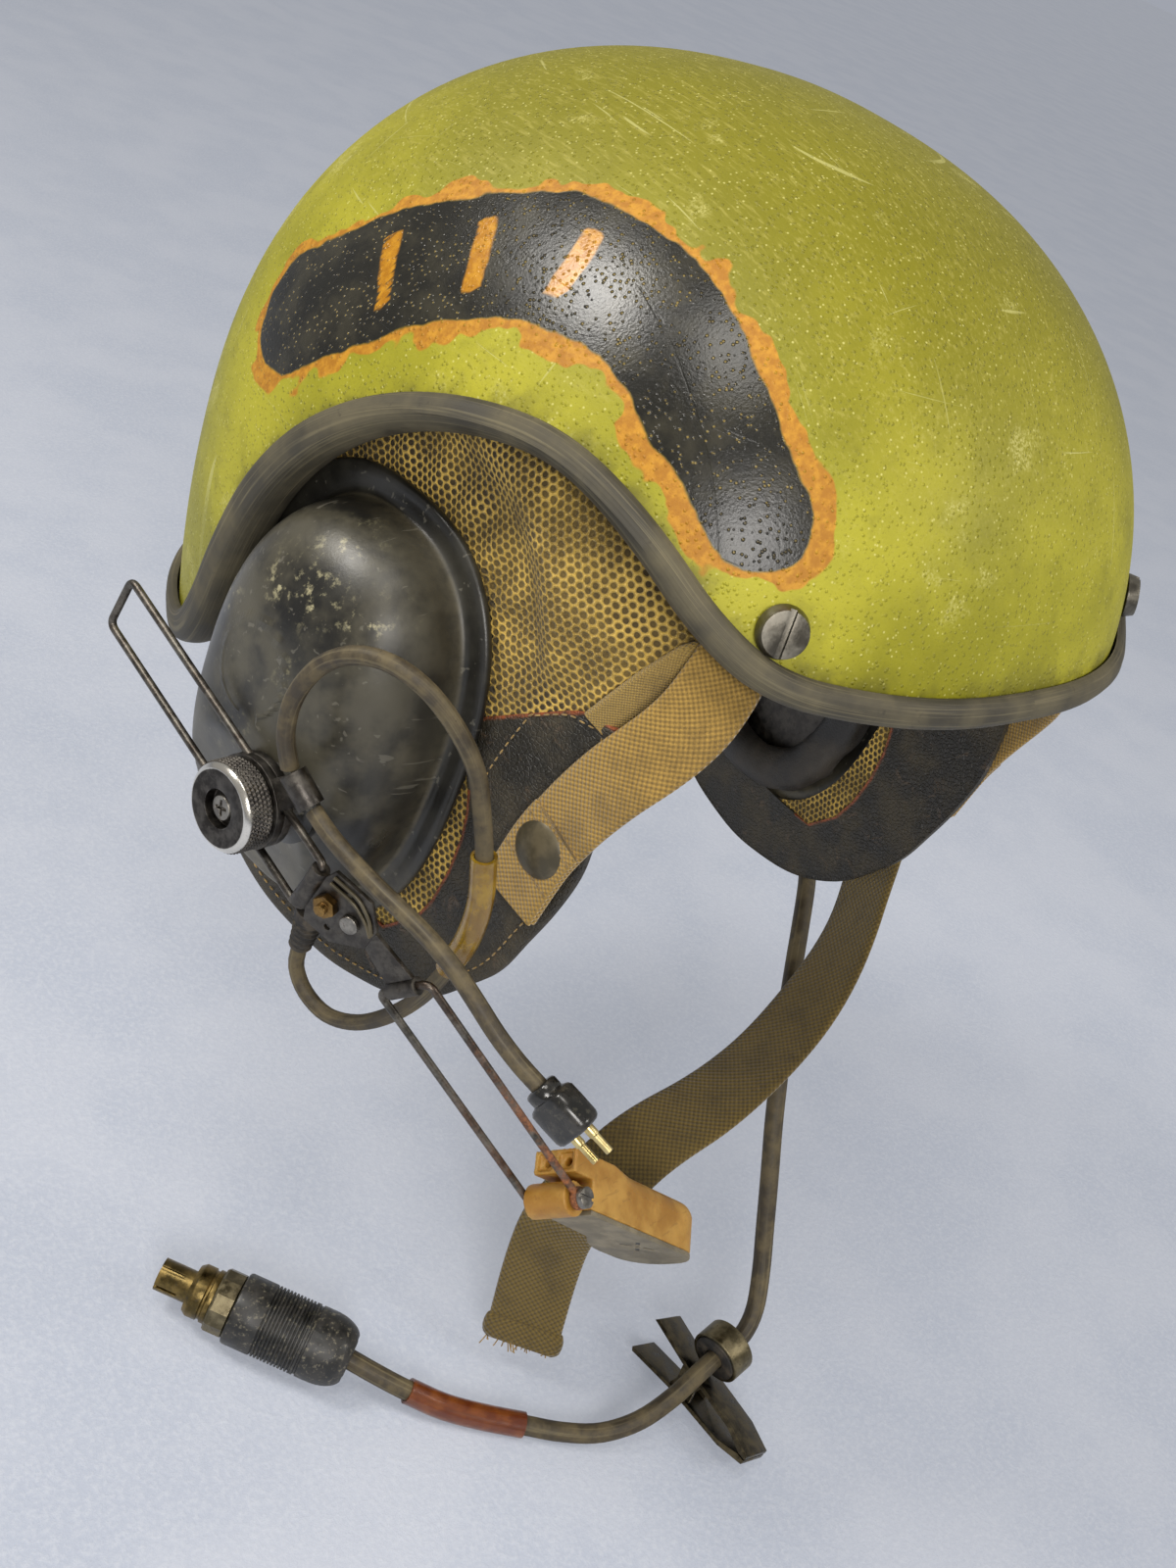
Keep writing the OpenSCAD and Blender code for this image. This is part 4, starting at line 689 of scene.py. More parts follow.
def lathe(name, profile, finish, body, at, replaces=(), sides=64, sharp=35, marks=()):
    """A turned piece: profile is [radius, height] from the axis round to the axis."""
    rows = [k for k, (r, z) in enumerate(profile) if r > 0]
    wall = [profile[k] for k in rows]
    rings = [[(r * math.cos(a), r * math.sin(a), z) for a in circle(sides)] for r, z in wall]
    points, faces, uvs = skin(rings, ends=False)
    points, marks = points.tolist(), dict(marks)
    values = {key: np.repeat([mark[k] for k in rows], sides).tolist() for key, mark in marks.items()}
    for end, first, order in ((0, 0, -1), (-1, (len(rows) - 1) * sides, 1)):
        if profile[end][0] == 0:
            points.append([0, 0, profile[end][1]])
            faces += [(first + j, first + (j + 1) % sides, len(points) - 1)[::order] for j in range(sides)]
            uvs += [((0, 0),) * 3] * sides
            for key, mark in marks.items():
                values[key].append(mark[end])
    return make(name, points, faces, finish, body, uvs, at=at, replaces=replaces, sharp=sharp, values=values)


def baked(piece):
    """Turns a piece and its modifiers into a plain mesh."""
    bpy.context.view_layer.update()
    mesh = bpy.data.meshes.new_from_object(piece.evaluated_get(bpy.context.evaluated_depsgraph_get()))
    piece.modifiers.clear()
    piece.data = mesh
    return mesh


def points_of(mesh, of="co"):
    """Points of a mesh, in metres, or its normals."""
    numbers = np.zeros(len(mesh.vertices) * 3)
    (mesh.vertices if of == "co" else mesh.vertex_normals).foreach_get(of, numbers)
    return numbers.reshape(-1, 3)


def set_points(mesh, points):
    mesh.vertices.foreach_set("co", points.ravel())
    mesh.update()


def copied(name, node, finish, merge=0.01, voxel=None):
    """A copy of a solid with its equal points welded, and with an even grid of faces where voxel is given."""
    mesh = frame["nodes"][node].data.copy()
    piece = linked(name, mesh)
    mesh.materials.clear()
    mesh.materials.append(finish.mat)
    piece.modifiers.new("weld", "WELD").merge_threshold = merge / 1000
    if voxel:
        grid = piece.modifiers.new("grid", "REMESH")
        grid.mode, grid.voxel_size, grid.use_smooth_shade = "VOXEL", voxel / 1000, True
    return piece


def softened(node, finish, width=0.25, segments=2):
    """A copy of a solid with its edges rounded off, which stands for that solid."""
    piece = copied(node + "_piece", node, finish)
    flat = piece.modifiers.new("flat", "DECIMATE")
    flat.decimate_type, flat.angle_limit = "DISSOLVE", math.radians(4)
    edge = piece.modifiers.new("edge", "BEVEL")
    edge.width, edge.segments, edge.use_clamp_overlap = width / 1000, segments, True
    edge.limit_method, edge.angle_limit = "ANGLE", math.radians(30)
    mesh = baked(piece)
    mesh.shade_smooth()
    mesh.set_sharp_from_angle(angle=math.radians(38))
    settle(piece, body_of[node], node)


def cast(name, node, finish, voxel, passes, shape=None):
    """A moulded copy of a solid, with every edge rounded off."""
    piece = copied(name, node, finish, voxel=voxel)
    soft = piece.modifiers.new("soft", "SMOOTH")
    soft.factor, soft.iterations = 0.5, passes
    mesh = baked(piece)
    if shape:
        set_points(mesh, shape(points_of(mesh) * 1000) / 1000)
    mesh.shade_smooth()
    settle(piece, body_of[node], node)


def repaint(node, finish):
    for place in frame["nodes"][node].material_slots:
        place.material = finish.mat


# Shell surface, as in the part's source
HALF_LEN, HALF_W, HIGH, PLAN_N, RISE_N, DRAW_IN, SHELL_T = 131.0, 119.5, 132.5, 2.44, 2.2, 0.11, 5.0
BROW, ARCH, NAPE = 32.5, 58.0, -65.0
edge_knots = [(-12, BROW), (0, BROW), (12, BROW), (24, BROW), (35, BROW), (43, BROW * 0.72 + ARCH * 0.28),
              (53, BROW * 0.2 + ARCH * 0.8), (64, ARCH + 1), (75, ARCH - 3), (86, ARCH - 13),
              (95.5, ARCH - 29), (102.6, ARCH - 52), (106.8, ARCH - 78), (110.4, ARCH - 102),
              (117, NAPE + 3), (130, NAPE), (146, NAPE), (163, NAPE), (180, NAPE), (197, NAPE)]


def rise_of(z, off):
    z, h = np.asarray(z, float), HIGH + off
    return np.where(z >= 0, np.arcsin(np.clip(z / h, 0, 1) ** (RISE_N / 2)), z / h)


def dome(th, phi, off):
    """Points of the shell's surface, moved out by off, at a turn from the brow and a rise."""
    th, phi = np.broadcast_arrays(np.asarray(th, float), np.asarray(phi, float))
    h = HIGH + off
    z = np.where(phi >= 0, h * np.clip(np.sin(phi), 0, 1) ** (2 / RISE_N), h * phi)
    share = np.where(phi >= 0, np.clip(np.cos(phi), 0, 1) ** (2 / RISE_N), 1 - DRAW_IN * (z / 100) ** 2)
    wide, deep = np.abs(np.sin(th)) / (HALF_W + off), np.abs(np.cos(th)) / (HALF_LEN + off)
    r = (wide ** PLAN_N + deep ** PLAN_N) ** (-1 / PLAN_N) * share
    return np.stack([-r * np.sin(th), -r * np.cos(th), z], -1)


def dome_z(th, z, off):
    return dome(th, rise_of(z, off), off)


def dome_out(th, z):
    """The way out of the shell's surface."""
    d = 0.006
    rise = dome_z(th, z + 0.5, 0) - dome_z(th, z - 0.5, 0)
    return unit(np.cross(rise, dome_z(th + d, z, 0) - dome_z(th - d, z, 0)))


def whole_edge(knots, steps):
    """Right half of an edge of [degrees, height], closed round the left side."""
    k = np.asarray(knots, float)
    half = [tuple(q) for q in spline(k, steps)[1:-2] if 0.01 < q[0] < 179.99]
    whole = np.array([(0, k[1][1])] + half + [(180, k[-2][1])] + [(360 - a, z) for a, z in half[::-1]])
    return np.radians(whole[:, 0]), whole[:, 1]


def bowl_rings(th, z, off, rows):
    """Rings from an edge at height z up to just under the top."""
    a = rise_of(z, off)
    phi = a[None] + (math.pi / 2 - a[None]) * (np.arange(rows) / rows)[:, None]
    return dome(np.broadcast_to(th[None], phi.shape), phi, off)


def near_path(points, path):
    """Distance to a dense path and how far along it the nearest point is."""
    best, where = np.full(len(points), 1e9), np.zeros(len(points))
    for q, s in zip(path, run_length(path)):
        d = lengths(points - q)
        near = d < best
        best[near], where[near] = d[near], s
    return best, where


# The painted band's middle line as [degrees, height], and its bars as [share of it, half length]
band_line = ((112, 45), (100, 70), (84, 88), (66, 92), (52, 82), (42, 66))
BAND_HALF, BAND_TAPER, BAR_HALF = 17, 5, 2.6
band_bars = ((0.2, 10.0), (0.36, 10.0), (0.52, 9.0))
UNPAINTED = 60.0


def make_shell(rows=62):
    th, z = whole_edge(edge_knots, 9)
    outer, inner = bowl_rings(th, z, 0, rows), bowl_rings(th, z, -SHELL_T, rows)
    c = len(th)
    points, faces, uvs = skin(np.concatenate([inner[::-1], outer]), ends=False)
    points = np.vstack([points, [(0, 0, HIGH - SHELL_T), (0, 0, HIGH)]])
    for j in range(c):
        k, last = (j + 1) % c, (2 * rows - 1) * c
        faces += [(k, j, len(points) - 2), (last + j, last + k, len(points) - 1)]
        uvs += [((0, 0),) * 3] * 2
    degrees, heights = np.array(band_line, float).T
    line = eased(dome_z(np.radians(degrees), heights, 0), 1.2)
    far, where = near_path(points, line)
    inside = np.concatenate([np.ones(rows * c, bool), np.zeros(rows * c, bool), [True, False]])
    half = BAND_HALF - BAND_TAPER * np.clip((where / where.max() - 0.55) / 0.45, 0, 1)
    bars = np.full(len(points), UNPAINTED)
    size = run_length(line)
    for share, reach in band_bars:
        spot = np.searchsorted(size, share * size[-1])
        q = line[spot]
        n, way = unit(q), line[spot + 2] - q
        way = unit(way - np.dot(way, n) * n)
        d = points - q
        box = np.maximum(np.abs(d @ way) - BAR_HALF, np.abs(d @ np.cross(n, way)) - reach)
        bars = np.minimum(bars, np.where(inside | (lengths(d) > 40), UNPAINTED, box))
    edge, _ = near_path(points, outer[0])
    make("shell_skin", points, faces, olive, "helmet", uvs, replaces="shell", sharp=60,
         values={"band_side": np.where(inside, UNPAINTED, far - half), "bar_side": bars, "edge_wear": edge})


def make_trim():
    th, z = whole_edge(edge_knots, 9)
    p, rim, out = dome_z(th, z, -SHELL_T / 2), dome_z(th, z, 0), dome_out(th, z)
    way = unit(np.roll(rim, -1, 0) - np.roll(rim, 1, 0))
    up = unit(np.cross(way, out))
    lip, low, gap, face, mid = 6.0, -3.0, 0.75, 3.75, SHELL_T / 2
    inner = -SHELL_T - face

    def onto(rise, off):
        q = p + up * rise
        return dome_z(np.arctan2(-q[:, 0], -q[:, 1]), q[:, 2], off)
    ring = [onto(*spot) for spot in ((lip, gap), (lip + 0.1, gap + 0.9), (lip - 0.3, face - 1.1),
                                     (lip - 1.1, face - 0.35), (lip - 2.4, face), (lip * 0.25, face + 0.1))]
    for a in np.radians(np.linspace(8, 172, 11)):
        reach = (mid + face - 0.15) * math.cos(a) * (1 if a < math.pi / 2 else 0.93)
        ring.append(p + up * (low * 0.1 + low * 0.9 * math.sin(a)) + out * reach)
    ring += [onto(*spot) for spot in ((lip * 0.35, inner + 1), (lip - 1, inner + 1.2), (lip, inner + 2),
                                      (lip, -SHELL_T - gap), (-gap, -SHELL_T - gap), (-gap, gap))]
    rings = np.stack(ring, 1)
    points, faces, uvs = skin(rings, closed=True, across=round_length(rings[0]), down=round_length(rim))
    make("edge_trim_strip", points, faces, rim_rubber, "helmet", uvs, replaces="edge_trim", sharp=50)


# Cords come first: their routes are the part's own
mic_loop = [(22, -69, 3), (23, -76, 2.5), (28, -82, 1), (37, -83, 0), (47, -77, -0.5), (56, -66, -0.5),
            (63.5, -52, 0), (68.3, -37, 1), (71.3, -24, 2.6), (72, -10, 5), (70, 4, 8.3), (67.3, 17, 12.6),
            (65, 28, 17.3), (61.3, 38.5, 24.5), (55.3, 46.8, 32), (47.5, 49.8, 37.7), (39, 46.8, 40.7),
            (31.6, 38.8, 41.6), (27.4, 27.6, 41.6), (27.2, 16.8, 40.5), (30.2, 8.4, 38.8)]
mic_run = [(39.4, 1.8, 36.4), (46, -0.4, 36), (55, -1.8, 35.5), (64, -2.6, 34.9), (73, -3.3, 34),
           (82, -4.8, 32.6), (90, -8, 30.6), (97, -12.4, 28.4), (104, -17, 26.2), (111, -20.6, 24),
           (117.5, -22.8, 22.2)]
main_run = [(113, -33, -103), (111, -38, -110), (105.5, -47, -117.5), (96, -58, -126.5), (85, -70, -136),
            (76, -81, -146), (69, -92, -158), (64, -102, -171), (61, -112, -186), (59.5, -121, -202),
            (58, -129, -216), (54.8, -135.6, -227), (48.5, -139.2, -233.4), (39.1, -140, -235.9),
            (28, -141.4, -238.6), (16, -142.5, -244.6), (4, -141.6, -250.8), (-8, -137.6, -255),
            (-19, -130.8, -256.7), (-30, -122.4, -256.8), (-41, -113.8, -256.8), (-51.5, -105.2, -255.8),
            (-61, -96.4, -253), (-69, -88.4, -250), (-76, -79, -248.3)]


def make_leads():
    loop, run = (put(right_cup, eased(route, 2.5)) for route in (mic_loop, mic_run))
    main = eased(main_run, 3)
    piece = tube("mic_lead_loop_tube", loop, 2.25, lead, None, 16, replaces="mic_lead_loop")
    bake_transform(piece)
    piece = tube("mic_lead_run_tube", run, 2.25, lead, "boom_clamp", 16, replaces="mic_lead_run")
    piece = tube("main_lead_tube", main, 3.2, lead, "helmet", 20, replaces="main_lead")
    tube("mic_sleeve_tube", eased(mic_loop[7:11], 2), 3.3, amber, "helmet", 20, at=right_cup,
         replaces="mic_lead_sleeve", bore=2.5)
    tube("main_sleeve_tube", eased(main_run[19:23], 2.5), 4.2, red_amber, "helmet", 20,
         replaces="main_lead_sleeve", bore=3.4)


make_leads()
make_shell()
make_trim()


# Outlines of the ear cups
CUP_HALF_W, CUP_HALF_H, CUP_DEPTH, FLANGE, BASE, OVAL_N = 46.0, 62.5, 28.0, -7.5, -4.5, 2.5


def oval(turn, hw, hh):
    c, s = np.cos(turn), np.sin(turn)
    r = (np.abs(c / hw) ** OVAL_N + np.abs(s / hh) ** OVAL_N) ** (-1 / OVAL_N)
    return np.stack([r * c, r * s], -1)


def oval_share(points, hw=CUP_HALF_W, hh=CUP_HALF_H):
    """How far out points are: 0 in the middle of an oval and 1 on it."""
    return (np.abs(points[:, 0] / hw) ** OVAL_N + np.abs(points[:, 1] / hh) ** OVAL_N) ** (1 / OVAL_N)


def away_from(points, path):
    """Distance in a plane from points to a closed outline, below zero inside it."""
    path = np.asarray(path, float)
    best, inside = np.full(points.shape[:-1], 1e9), np.zeros(points.shape[:-1], bool)
    for a, b in zip(path, np.roll(path, -1, 0)):
        d = b - a
        t = np.clip(((points - a) @ d) / (d @ d), 0, 1)
        best = np.minimum(best, lengths(points - a - t[..., None] * d))
        crosses = (a[1] > points[..., 1]) != (b[1] > points[..., 1])
        climb = d[1] if d[1] else 1e-9
        inside ^= crosses & (points[..., 0] < d[0] * (points[..., 1] - a[1]) / climb + a[0])
    return np.where(inside, -best, best)


# Mesh cap with its binding, and the leather's outer and inner edge
cap_knots = [(-12, BROW + 4), (0, BROW + 4), (12, BROW + 4), (24, BROW + 3), (34, BROW + 1), (42, BROW - 4),
             (45, 19), (47, 11), (49, 2), (53, -9), (60, -15), (72, -20), (90, -26), (108, -30), (122, -42),
             (140, NAPE + 14), (160, NAPE + 12), (180, NAPE + 12), (200, NAPE + 12)]
leather_pairs = [((40.3, 20.4), (37, 18)), ((54, 31.5), (38, 15)), ((67.2, 41.7), (40, 12.5)),
                 ((73.5, 43.5), (41, 11.7)), ((79.1, 44.6), (42, 9.5)), ((81.2, 38), (43, 7.5)),
                 ((83.6, 27), (44.5, 5)), ((85.5, 14.5), (46.2, 2)), ((85.9, 4), (48.3, -3.5)),
                 ((83.5, -9.9), (49.9, -10.5)), ((80.1, -22.5), (50.3, -21.5)), ((76.3, -35), (48.8, -33)),
                 ((70.7, -44.6), (45.8, -42)), ((59, -60), (37, -52.5)), ((40, -72), (23.4, -54)),
                 ((12, -78), (9, -55)), ((-18, -74), (-11, -54)), ((-38, -60), (-24, -48)),
                 ((-48, -42), (-32.5, -38)), ((-52, -24), (-37, -23.5))]
leather_path = [(28, 12)] + [outer for outer, _ in leather_pairs] + [(-46, -20), (-30, -30)]
CAP_UNDER, GATHERS, KNIT_LEVEL, KNIT_LOWEST, FLAT_TOP, MAP_RADIUS = -12, 34, -9.2, -9.4, 78, 107


def make_cap(rows=76):
    th, z = whole_edge(cap_knots, 10)
    c = len(th)
    points = np.vstack([bowl_rings(th, z, CAP_UNDER, rows).reshape(-1, 3), [(0, 0, HIGH + CAP_UNDER)]])
    lost = np.zeros(len(points), bool)
    for name, side, at in cups:
        q = put(np.linalg.inv(at), points)
        near, rho, low = q[:, 2] > -70, oval_share(q), away_from(q[:, :2], leather_path)
        turn = np.arctan2(q[:, 1], q[:, 0])
        gather = (0.35 + 0.5 * np.clip(np.sin(turn), 0, 1)) * np.sin(turn * GATHERS)
        gather = gather * step(1 - np.abs(rho - 1.1) / 0.16) * step(low / 6)
        for share, target in ((step(1 - low / 20), np.minimum(q[:, 2], KNIT_LOWEST)),
                              (step(2 * (1 - (rho - 1) * 48 / 20)), KNIT_LEVEL)):
            q[:, 2] = np.where(near, q[:, 2] + (target - q[:, 2]) * share, q[:, 2])
        q[:, 2] += np.where(near & (q[:, 2] > -13), gather, 0)
        ring = near & (rho < 0.97)
        q[ring, :2] *= (0.925 / rho[ring])[:, None]
        lost |= near & (rho < 0.9249)
        points = np.where(near[:, None], put(at, q), points)
    faces, uvs = [], []
    for i in range(rows - 1):
        for j in range(c):
            k = (j + 1) % c
            quad = (i * c + j, i * c + k, (i + 1) * c + k, (i + 1) * c + j)
            if all(lost[v] for v in quad):
                continue
            faces.append(quad)
            if points[quad[0]][2] > FLAT_TOP:
                uvs.append([(points[v][0], points[v][1]) for v in quad])
            else:
                a, b = th[j] * MAP_RADIUS, (th[k] if k else FULL_TURN) * MAP_RADIUS
                uvs.append([(u, points[v][2]) for u, v in zip((a, b, b, a), quad)])
    for j in range(c):
        faces.append(((rows - 1) * c + j, (rows - 1) * c + (j + 1) % c, len(points) - 1))
        uvs.append([(points[v][0], points[v][1]) for v in faces[-1]])
    used = sorted({v for face in faces for v in face})
    order = {v: n for n, v in enumerate(used)}
    faces = [tuple(order[v] for v in face) for face in faces]
    cap = make("mesh_cap_cloth", points[used], faces, knit, "helmet", uvs, replaces="liner_cap", sharp=0)
    wall = cap.modifiers.new("wall", "SOLIDIFY")
    wall.thickness, wall.offset, wall.use_quality_normals = 0.0009, -1, True
    baked(cap)
    for name, side, at in cups:
        a = np.arange(48.6, 34.9, -0.7)
        heights = np.interp(a, *zip(*cap_knots))
        mirror = (side, 1, 1)
        path = dome_z(np.radians(a), heights, -10.9) * mirror
        outs = dome_out(np.radians(a), np.maximum(heights, 1)) * mirror
        strap("binding_tape_" + name, path, outs, 9, 2.0, tape, replaces="liner_binding" if side > 0 else ())
        make_skirt(name, at)


def make_skirt(name, at):
    """The strip of knit that shows between a cup's flange and the leather."""
    turn = np.radians(np.arange(26, -78, -1.5))
    share = np.array([0.0, 0.07, 0.12, 0.17, 0.23, 0.29])
    level = np.array([-9.2, -9.3, -9.4, -9.5, -9.5, -9.5])
    full = np.clip(np.minimum(math.radians(30) - turn, turn + math.radians(82)) / 0.3, 0.1, 1)
    flat = oval(turn, CUP_HALF_W, CUP_HALF_H)[:, None] * (0.93 + share * full[:, None])[..., None]
    w = level + 0.3 * np.sin(turn * GATHERS)[:, None] * np.array([0, 0.4, 1, 0.5, 0, 0])
    top = np.concatenate([flat, w[..., None]], -1)
    points, faces, _ = skin(np.concatenate([top, (top - (0, 0, 0.6))[:, ::-1]], 1))
    uvs = [[(points[v][0], points[v][1]) for v in face] for face in faces]
    make("mesh_cap_skirt_" + name, points, faces, knit, "helmet", uvs, at=at, sharp=60)


# Leather round the cups
TAB_CORNER, LEATHER_TOP, LEATHER_T, SEAM_IN = 4, -8.35, 1.9, 4.2


def ripple(flat):
    return 0.18 * np.sin(flat[..., 0] * 0.21 + flat[..., 1] * 0.13)


def make_leather():
    rim, foot = (np.array(side, float) for side in zip(*leather_pairs))
    outer, inner = [rim[0]], [foot[0]]
    for k in range(len(rim) - 1):
        n = max(2, int(lengths(rim[k + 1] - rim[k]) // 1.6))
        before = rim[k] if k == TAB_CORNER else rim[max(k - 1, 0)]
        after = rim[k + 1] if k + 1 == TAB_CORNER else rim[min(k + 2, len(rim) - 1)]
        for t in np.arange(1, n + 1) / n:
            outer.append(smooth(before, rim[k], rim[k + 1], after, t))
            inner.append(foot[k] + (foot[k + 1] - foot[k]) * t)
    outer, inner = np.array(outer), np.array(inner)
    across = np.concatenate([[0, 0.02], np.linspace(0.06, 1, 15)])
    flat = outer[:, None] + (inner - outer)[:, None] * across[None, :, None]
    edge = np.abs(away_from(flat, np.vstack([outer, [(-45, -10), (-20, 0), (20, 0)]])))
    raw = lengths(flat - inner[:, None]) + np.where(oval_share(inner) > 1, 0, 99)[:, None]
    edge = np.minimum(edge, raw)
    top = LEATHER_TOP + (ripple(flat) - 0.25) - 0.35 * step(1 - edge / 0.8)
    top = np.concatenate([flat, top[..., None]], -1)
    rings = np.concatenate([top, (top - (0, 0, LEATHER_T))[:, ::-1]], 1)
    tab = outer[:int(np.argmax(outer[:, 1])) + 1]
    cut = np.minimum(raw, lengths(flat[:, :, None] - tab[None, None]).min(-1))
    wear = np.concatenate([cut, cut[:, ::-1]], 1).reshape(-1)
    columns = np.arange(len(across) * 2 + 1) * 3.0
    points, faces, uvs = skin(rings, across=columns, down=np.arange(len(rings) + 1) * 1.6)
    wide = lengths(inner - outer)
    line = (outer + (inner - outer) / np.maximum(wide, 1)[:, None] * SEAM_IN)[wide > 16]
    seam = eased(np.vstack([[(51, 4)], [(50.4, 12)], line[6:]]), 2)
    seam = np.column_stack([seam, -8.42 + ripple(seam)])
    for name, side, at in cups:
        make("leather_surround_" + name, points, faces, leather, "helmet", uvs, at=at,
             replaces="ear_surround_" + name, sharp=55, values={"edge_wear": wear})
        stitch_row("leather_stitches_" + name, put(at, seam), at[:3, 2], 2.9, 2.0, 0.5, tan_thread)


# Stitches and knurls come from Geometry Nodes trees with named sizes
class Tree:
    """A Geometry Nodes tree whose sizes are named inputs."""

    def __init__(self, name, **sizes):
        self.group = bpy.data.node_groups.new(name, "GeometryNodeTree")
        sockets = self.group.interface
        for way in ("INPUT", "OUTPUT"):
            sockets.new_socket("Mesh", in_out=way, socket_type="NodeSocketGeometry")
        for key, value in sizes.items():
            kind = "NodeSocketInt" if isinstance(value, int) else "NodeSocketFloat"
            sockets.new_socket(key, in_out="INPUT", socket_type=kind).default_value = value
        self.start = self.group.nodes.new("NodeGroupInput").outputs

    def add(self, kind, inputs=(), out=0, **settings):
        return add_node(self.group, kind, inputs, out, **settings)

    def facing(self, first, way, second, pivot, up):
        """A turn that looks one way and has another way up."""
        lie = self.add("FunctionNodeAlignRotationToVector", {"Vector": way}, axis=first)
        return self.add("FunctionNodeAlignRotationToVector", {"Rotation": lie, "Vector": up}, axis=second,
                        pivot_axis=pivot)

    def end(self, points, shape, lie, finish):
        """Puts a shape on each point, turned as lie says."""
        inputs = {"Points": points, "Instance": shape, "Rotation": lie}
        shape = self.add("GeometryNodeInstanceOnPoints", inputs)
        shape = self.add("GeometryNodeRealizeInstances", {0: shape})
        shape = self.add("GeometryNodeSetShadeSmooth", {0: shape})
        shape = self.add("GeometryNodeSetMaterial", {0: shape, "Material": finish.mat})
        self.group.links.new(shape, self.group.nodes.new("NodeGroupOutput").inputs[0])
        return self

    def run(self, piece, **sizes):
        modifier = piece.modifiers.new("made", "NODES")
        modifier.node_group = self.group
        for item in self.group.interface.items_tree:
            if item.item_type == "SOCKET" and item.in_out == "INPUT" and item.name in sizes:
                modifier[item.identifier] = sizes[item.name]
        baked(piece)


def stitch_tree(finish):
    t = Tree("stitch_row_" + finish.mat.name, spacing=0.003, stitch_length=0.002, thread=0.0007)
    curve = t.add("GeometryNodeMeshToCurve", {"Mesh": t.start["Mesh"]})
    spots = t.add("GeometryNodeResampleCurve", {"Curve": curve, "Length": t.start["spacing"]}, mode="LENGTH")
    ball = t.add("GeometryNodeMeshUVSphere", {"Segments": 8, "Rings": 5, "Radius": 0.5})
    wide = t.start["thread"]
    size = t.add("ShaderNodeCombineXYZ", {0: t.start["stitch_length"], 1: wide, 2: wide})
    shape = t.add("GeometryNodeTransform", {"Geometry": ball, "Scale": size})
    up = t.add("GeometryNodeInputNamedAttribute", {"Name": "up"}, data_type="FLOAT_VECTOR")
    lie = t.facing("X", t.add("GeometryNodeInputTangent"), "Z", "X", up)
    return t.end(spots, shape, lie, finish)


stitch_trees = {f.mat.name: stitch_tree(f) for f in (tan_thread, dark_thread)}


def stitch_row(name, path, up, spacing, length, wide, finish):
    """Stitches along a path; up is the way out of the cloth."""
    mesh = bpy.data.meshes.new(name)
    edges = [(i, i + 1) for i in range(len(path) - 1)]
    mesh.from_pydata((np.asarray(path, float) / 1000).tolist(), edges, [])
    ups = np.ascontiguousarray(np.broadcast_to(np.asarray(up, float), np.shape(path)), np.float32)
    mesh.attributes.new("up", "FLOAT_VECTOR", "POINT").data.foreach_set("vector", ups.ravel())
    piece = linked(name, mesh)
    tree = stitch_trees[finish.mat.name]
    tree.run(piece, spacing=spacing / 1000, stitch_length=length / 1000, thread=wide / 1000)
    settle(piece, "helmet")


def knurl_tree(finish, rows=5):
    t = Tree("diamond_knurl", around=56, rim=0.0116, row_height=0.0011, stud=0.0008)
    row = t.add("GeometryNodeMeshCircle", {"Vertices": t.start["around"], "Radius": t.start["rim"]})
    half = t.add("ShaderNodeMath", {0: math.pi, 1: t.start["around"]}, operation="DIVIDE")
    joined = t.add("GeometryNodeJoinGeometry")
    for k in range(rows):
        lift = t.add("ShaderNodeMath", {0: t.start["row_height"], 1: float(k)}, operation="MULTIPLY")
        turn = t.add("ShaderNodeMath", {0: half, 1: float(k % 2)}, operation="MULTIPLY")
        lift, turn = (t.add("ShaderNodeCombineXYZ", {2: z}) for z in (lift, turn))
        placed = t.add("GeometryNodeTransform", {"Geometry": row, "Translation": lift, "Rotation": turn})
        t.group.links.new(placed, joined.node.inputs[0])
    spot = t.add("GeometryNodeInputPosition")
    out = t.add("ShaderNodeVectorMath", {0: spot, 1: (1, 1, 0)}, operation="MULTIPLY")
    lie = t.facing("Z", out, "X", "Z", (0, 0, 1))
    cone = {"Vertices": 4, "Radius Bottom": t.start["stud"], "Radius Top": 0.00012, "Depth": 0.0004}
    cone = t.add("GeometryNodeMeshCone", cone)
    return t.end(joined, cone, lie, finish)


# Straps
strap_route = [(89.5, 90.0, -30.2), (90.7, 84.2, -28.5), (91.5, 78.5, -26.8), (91.5, 73.0, -24.8),
               (91.4, 68.8, -23.1), (92.3, 64.4, -20.2), (93.2, 57.2, -15.5), (91.7, 49.9, -12),
               (89.1, 43, -9), (85.2, 34.8, -7), (80.4, 23.3, -6.6), (77.4, 14.2, -6.5), (75, 6.1, -6.4),
               (72.4, -11.8, -6.4)]
chin_route = [(99, -62, -62), (97, -70, -88), (86, -82, -113), (61, -91, -137), (31, -95, -153),
              (3, -94, -163), (-11, -95, -175), (-16, -92.5, -188), (-16, -91, -202), (-16.5, -92.5, -213),
              (-17.1, -94.6, -223), (-17.7, -96.9, -232), (-18.2, -98.8, -239)]
chin_outs = [(1, -0.3, 0.2), (1, -0.3, 0), (0.8, -0.45, -0.4), (0.5, -0.3, -0.8), (0.25, -0.15, -1),
             (0.1, 0, -1), (0.5, 0.25, -0.7), (0.8, 0.5, -0.3), (0.84, 0.53, 0), (0.83, 0.53, -0.15),
             (0.83, 0.53, -0.17), (0.83, 0.53, -0.17), (0.83, 0.53, -0.17)]
FRONT_OUT, CUP_OUT, FOLD_LENGTH = np.array((0.69, 0.17, 0.7)), np.array((0, 0, 1)), 27
snap_profile = [(0, -1), (6.6, -1), (7.2, -0.6), (7.6, 0.1), (7.55, 0.6), (7.2, 0.95), (6.4, 1.45),
                (5.2, 2.0), (3.6, 2.45), (1.8, 2.7), (0, 2.8)]


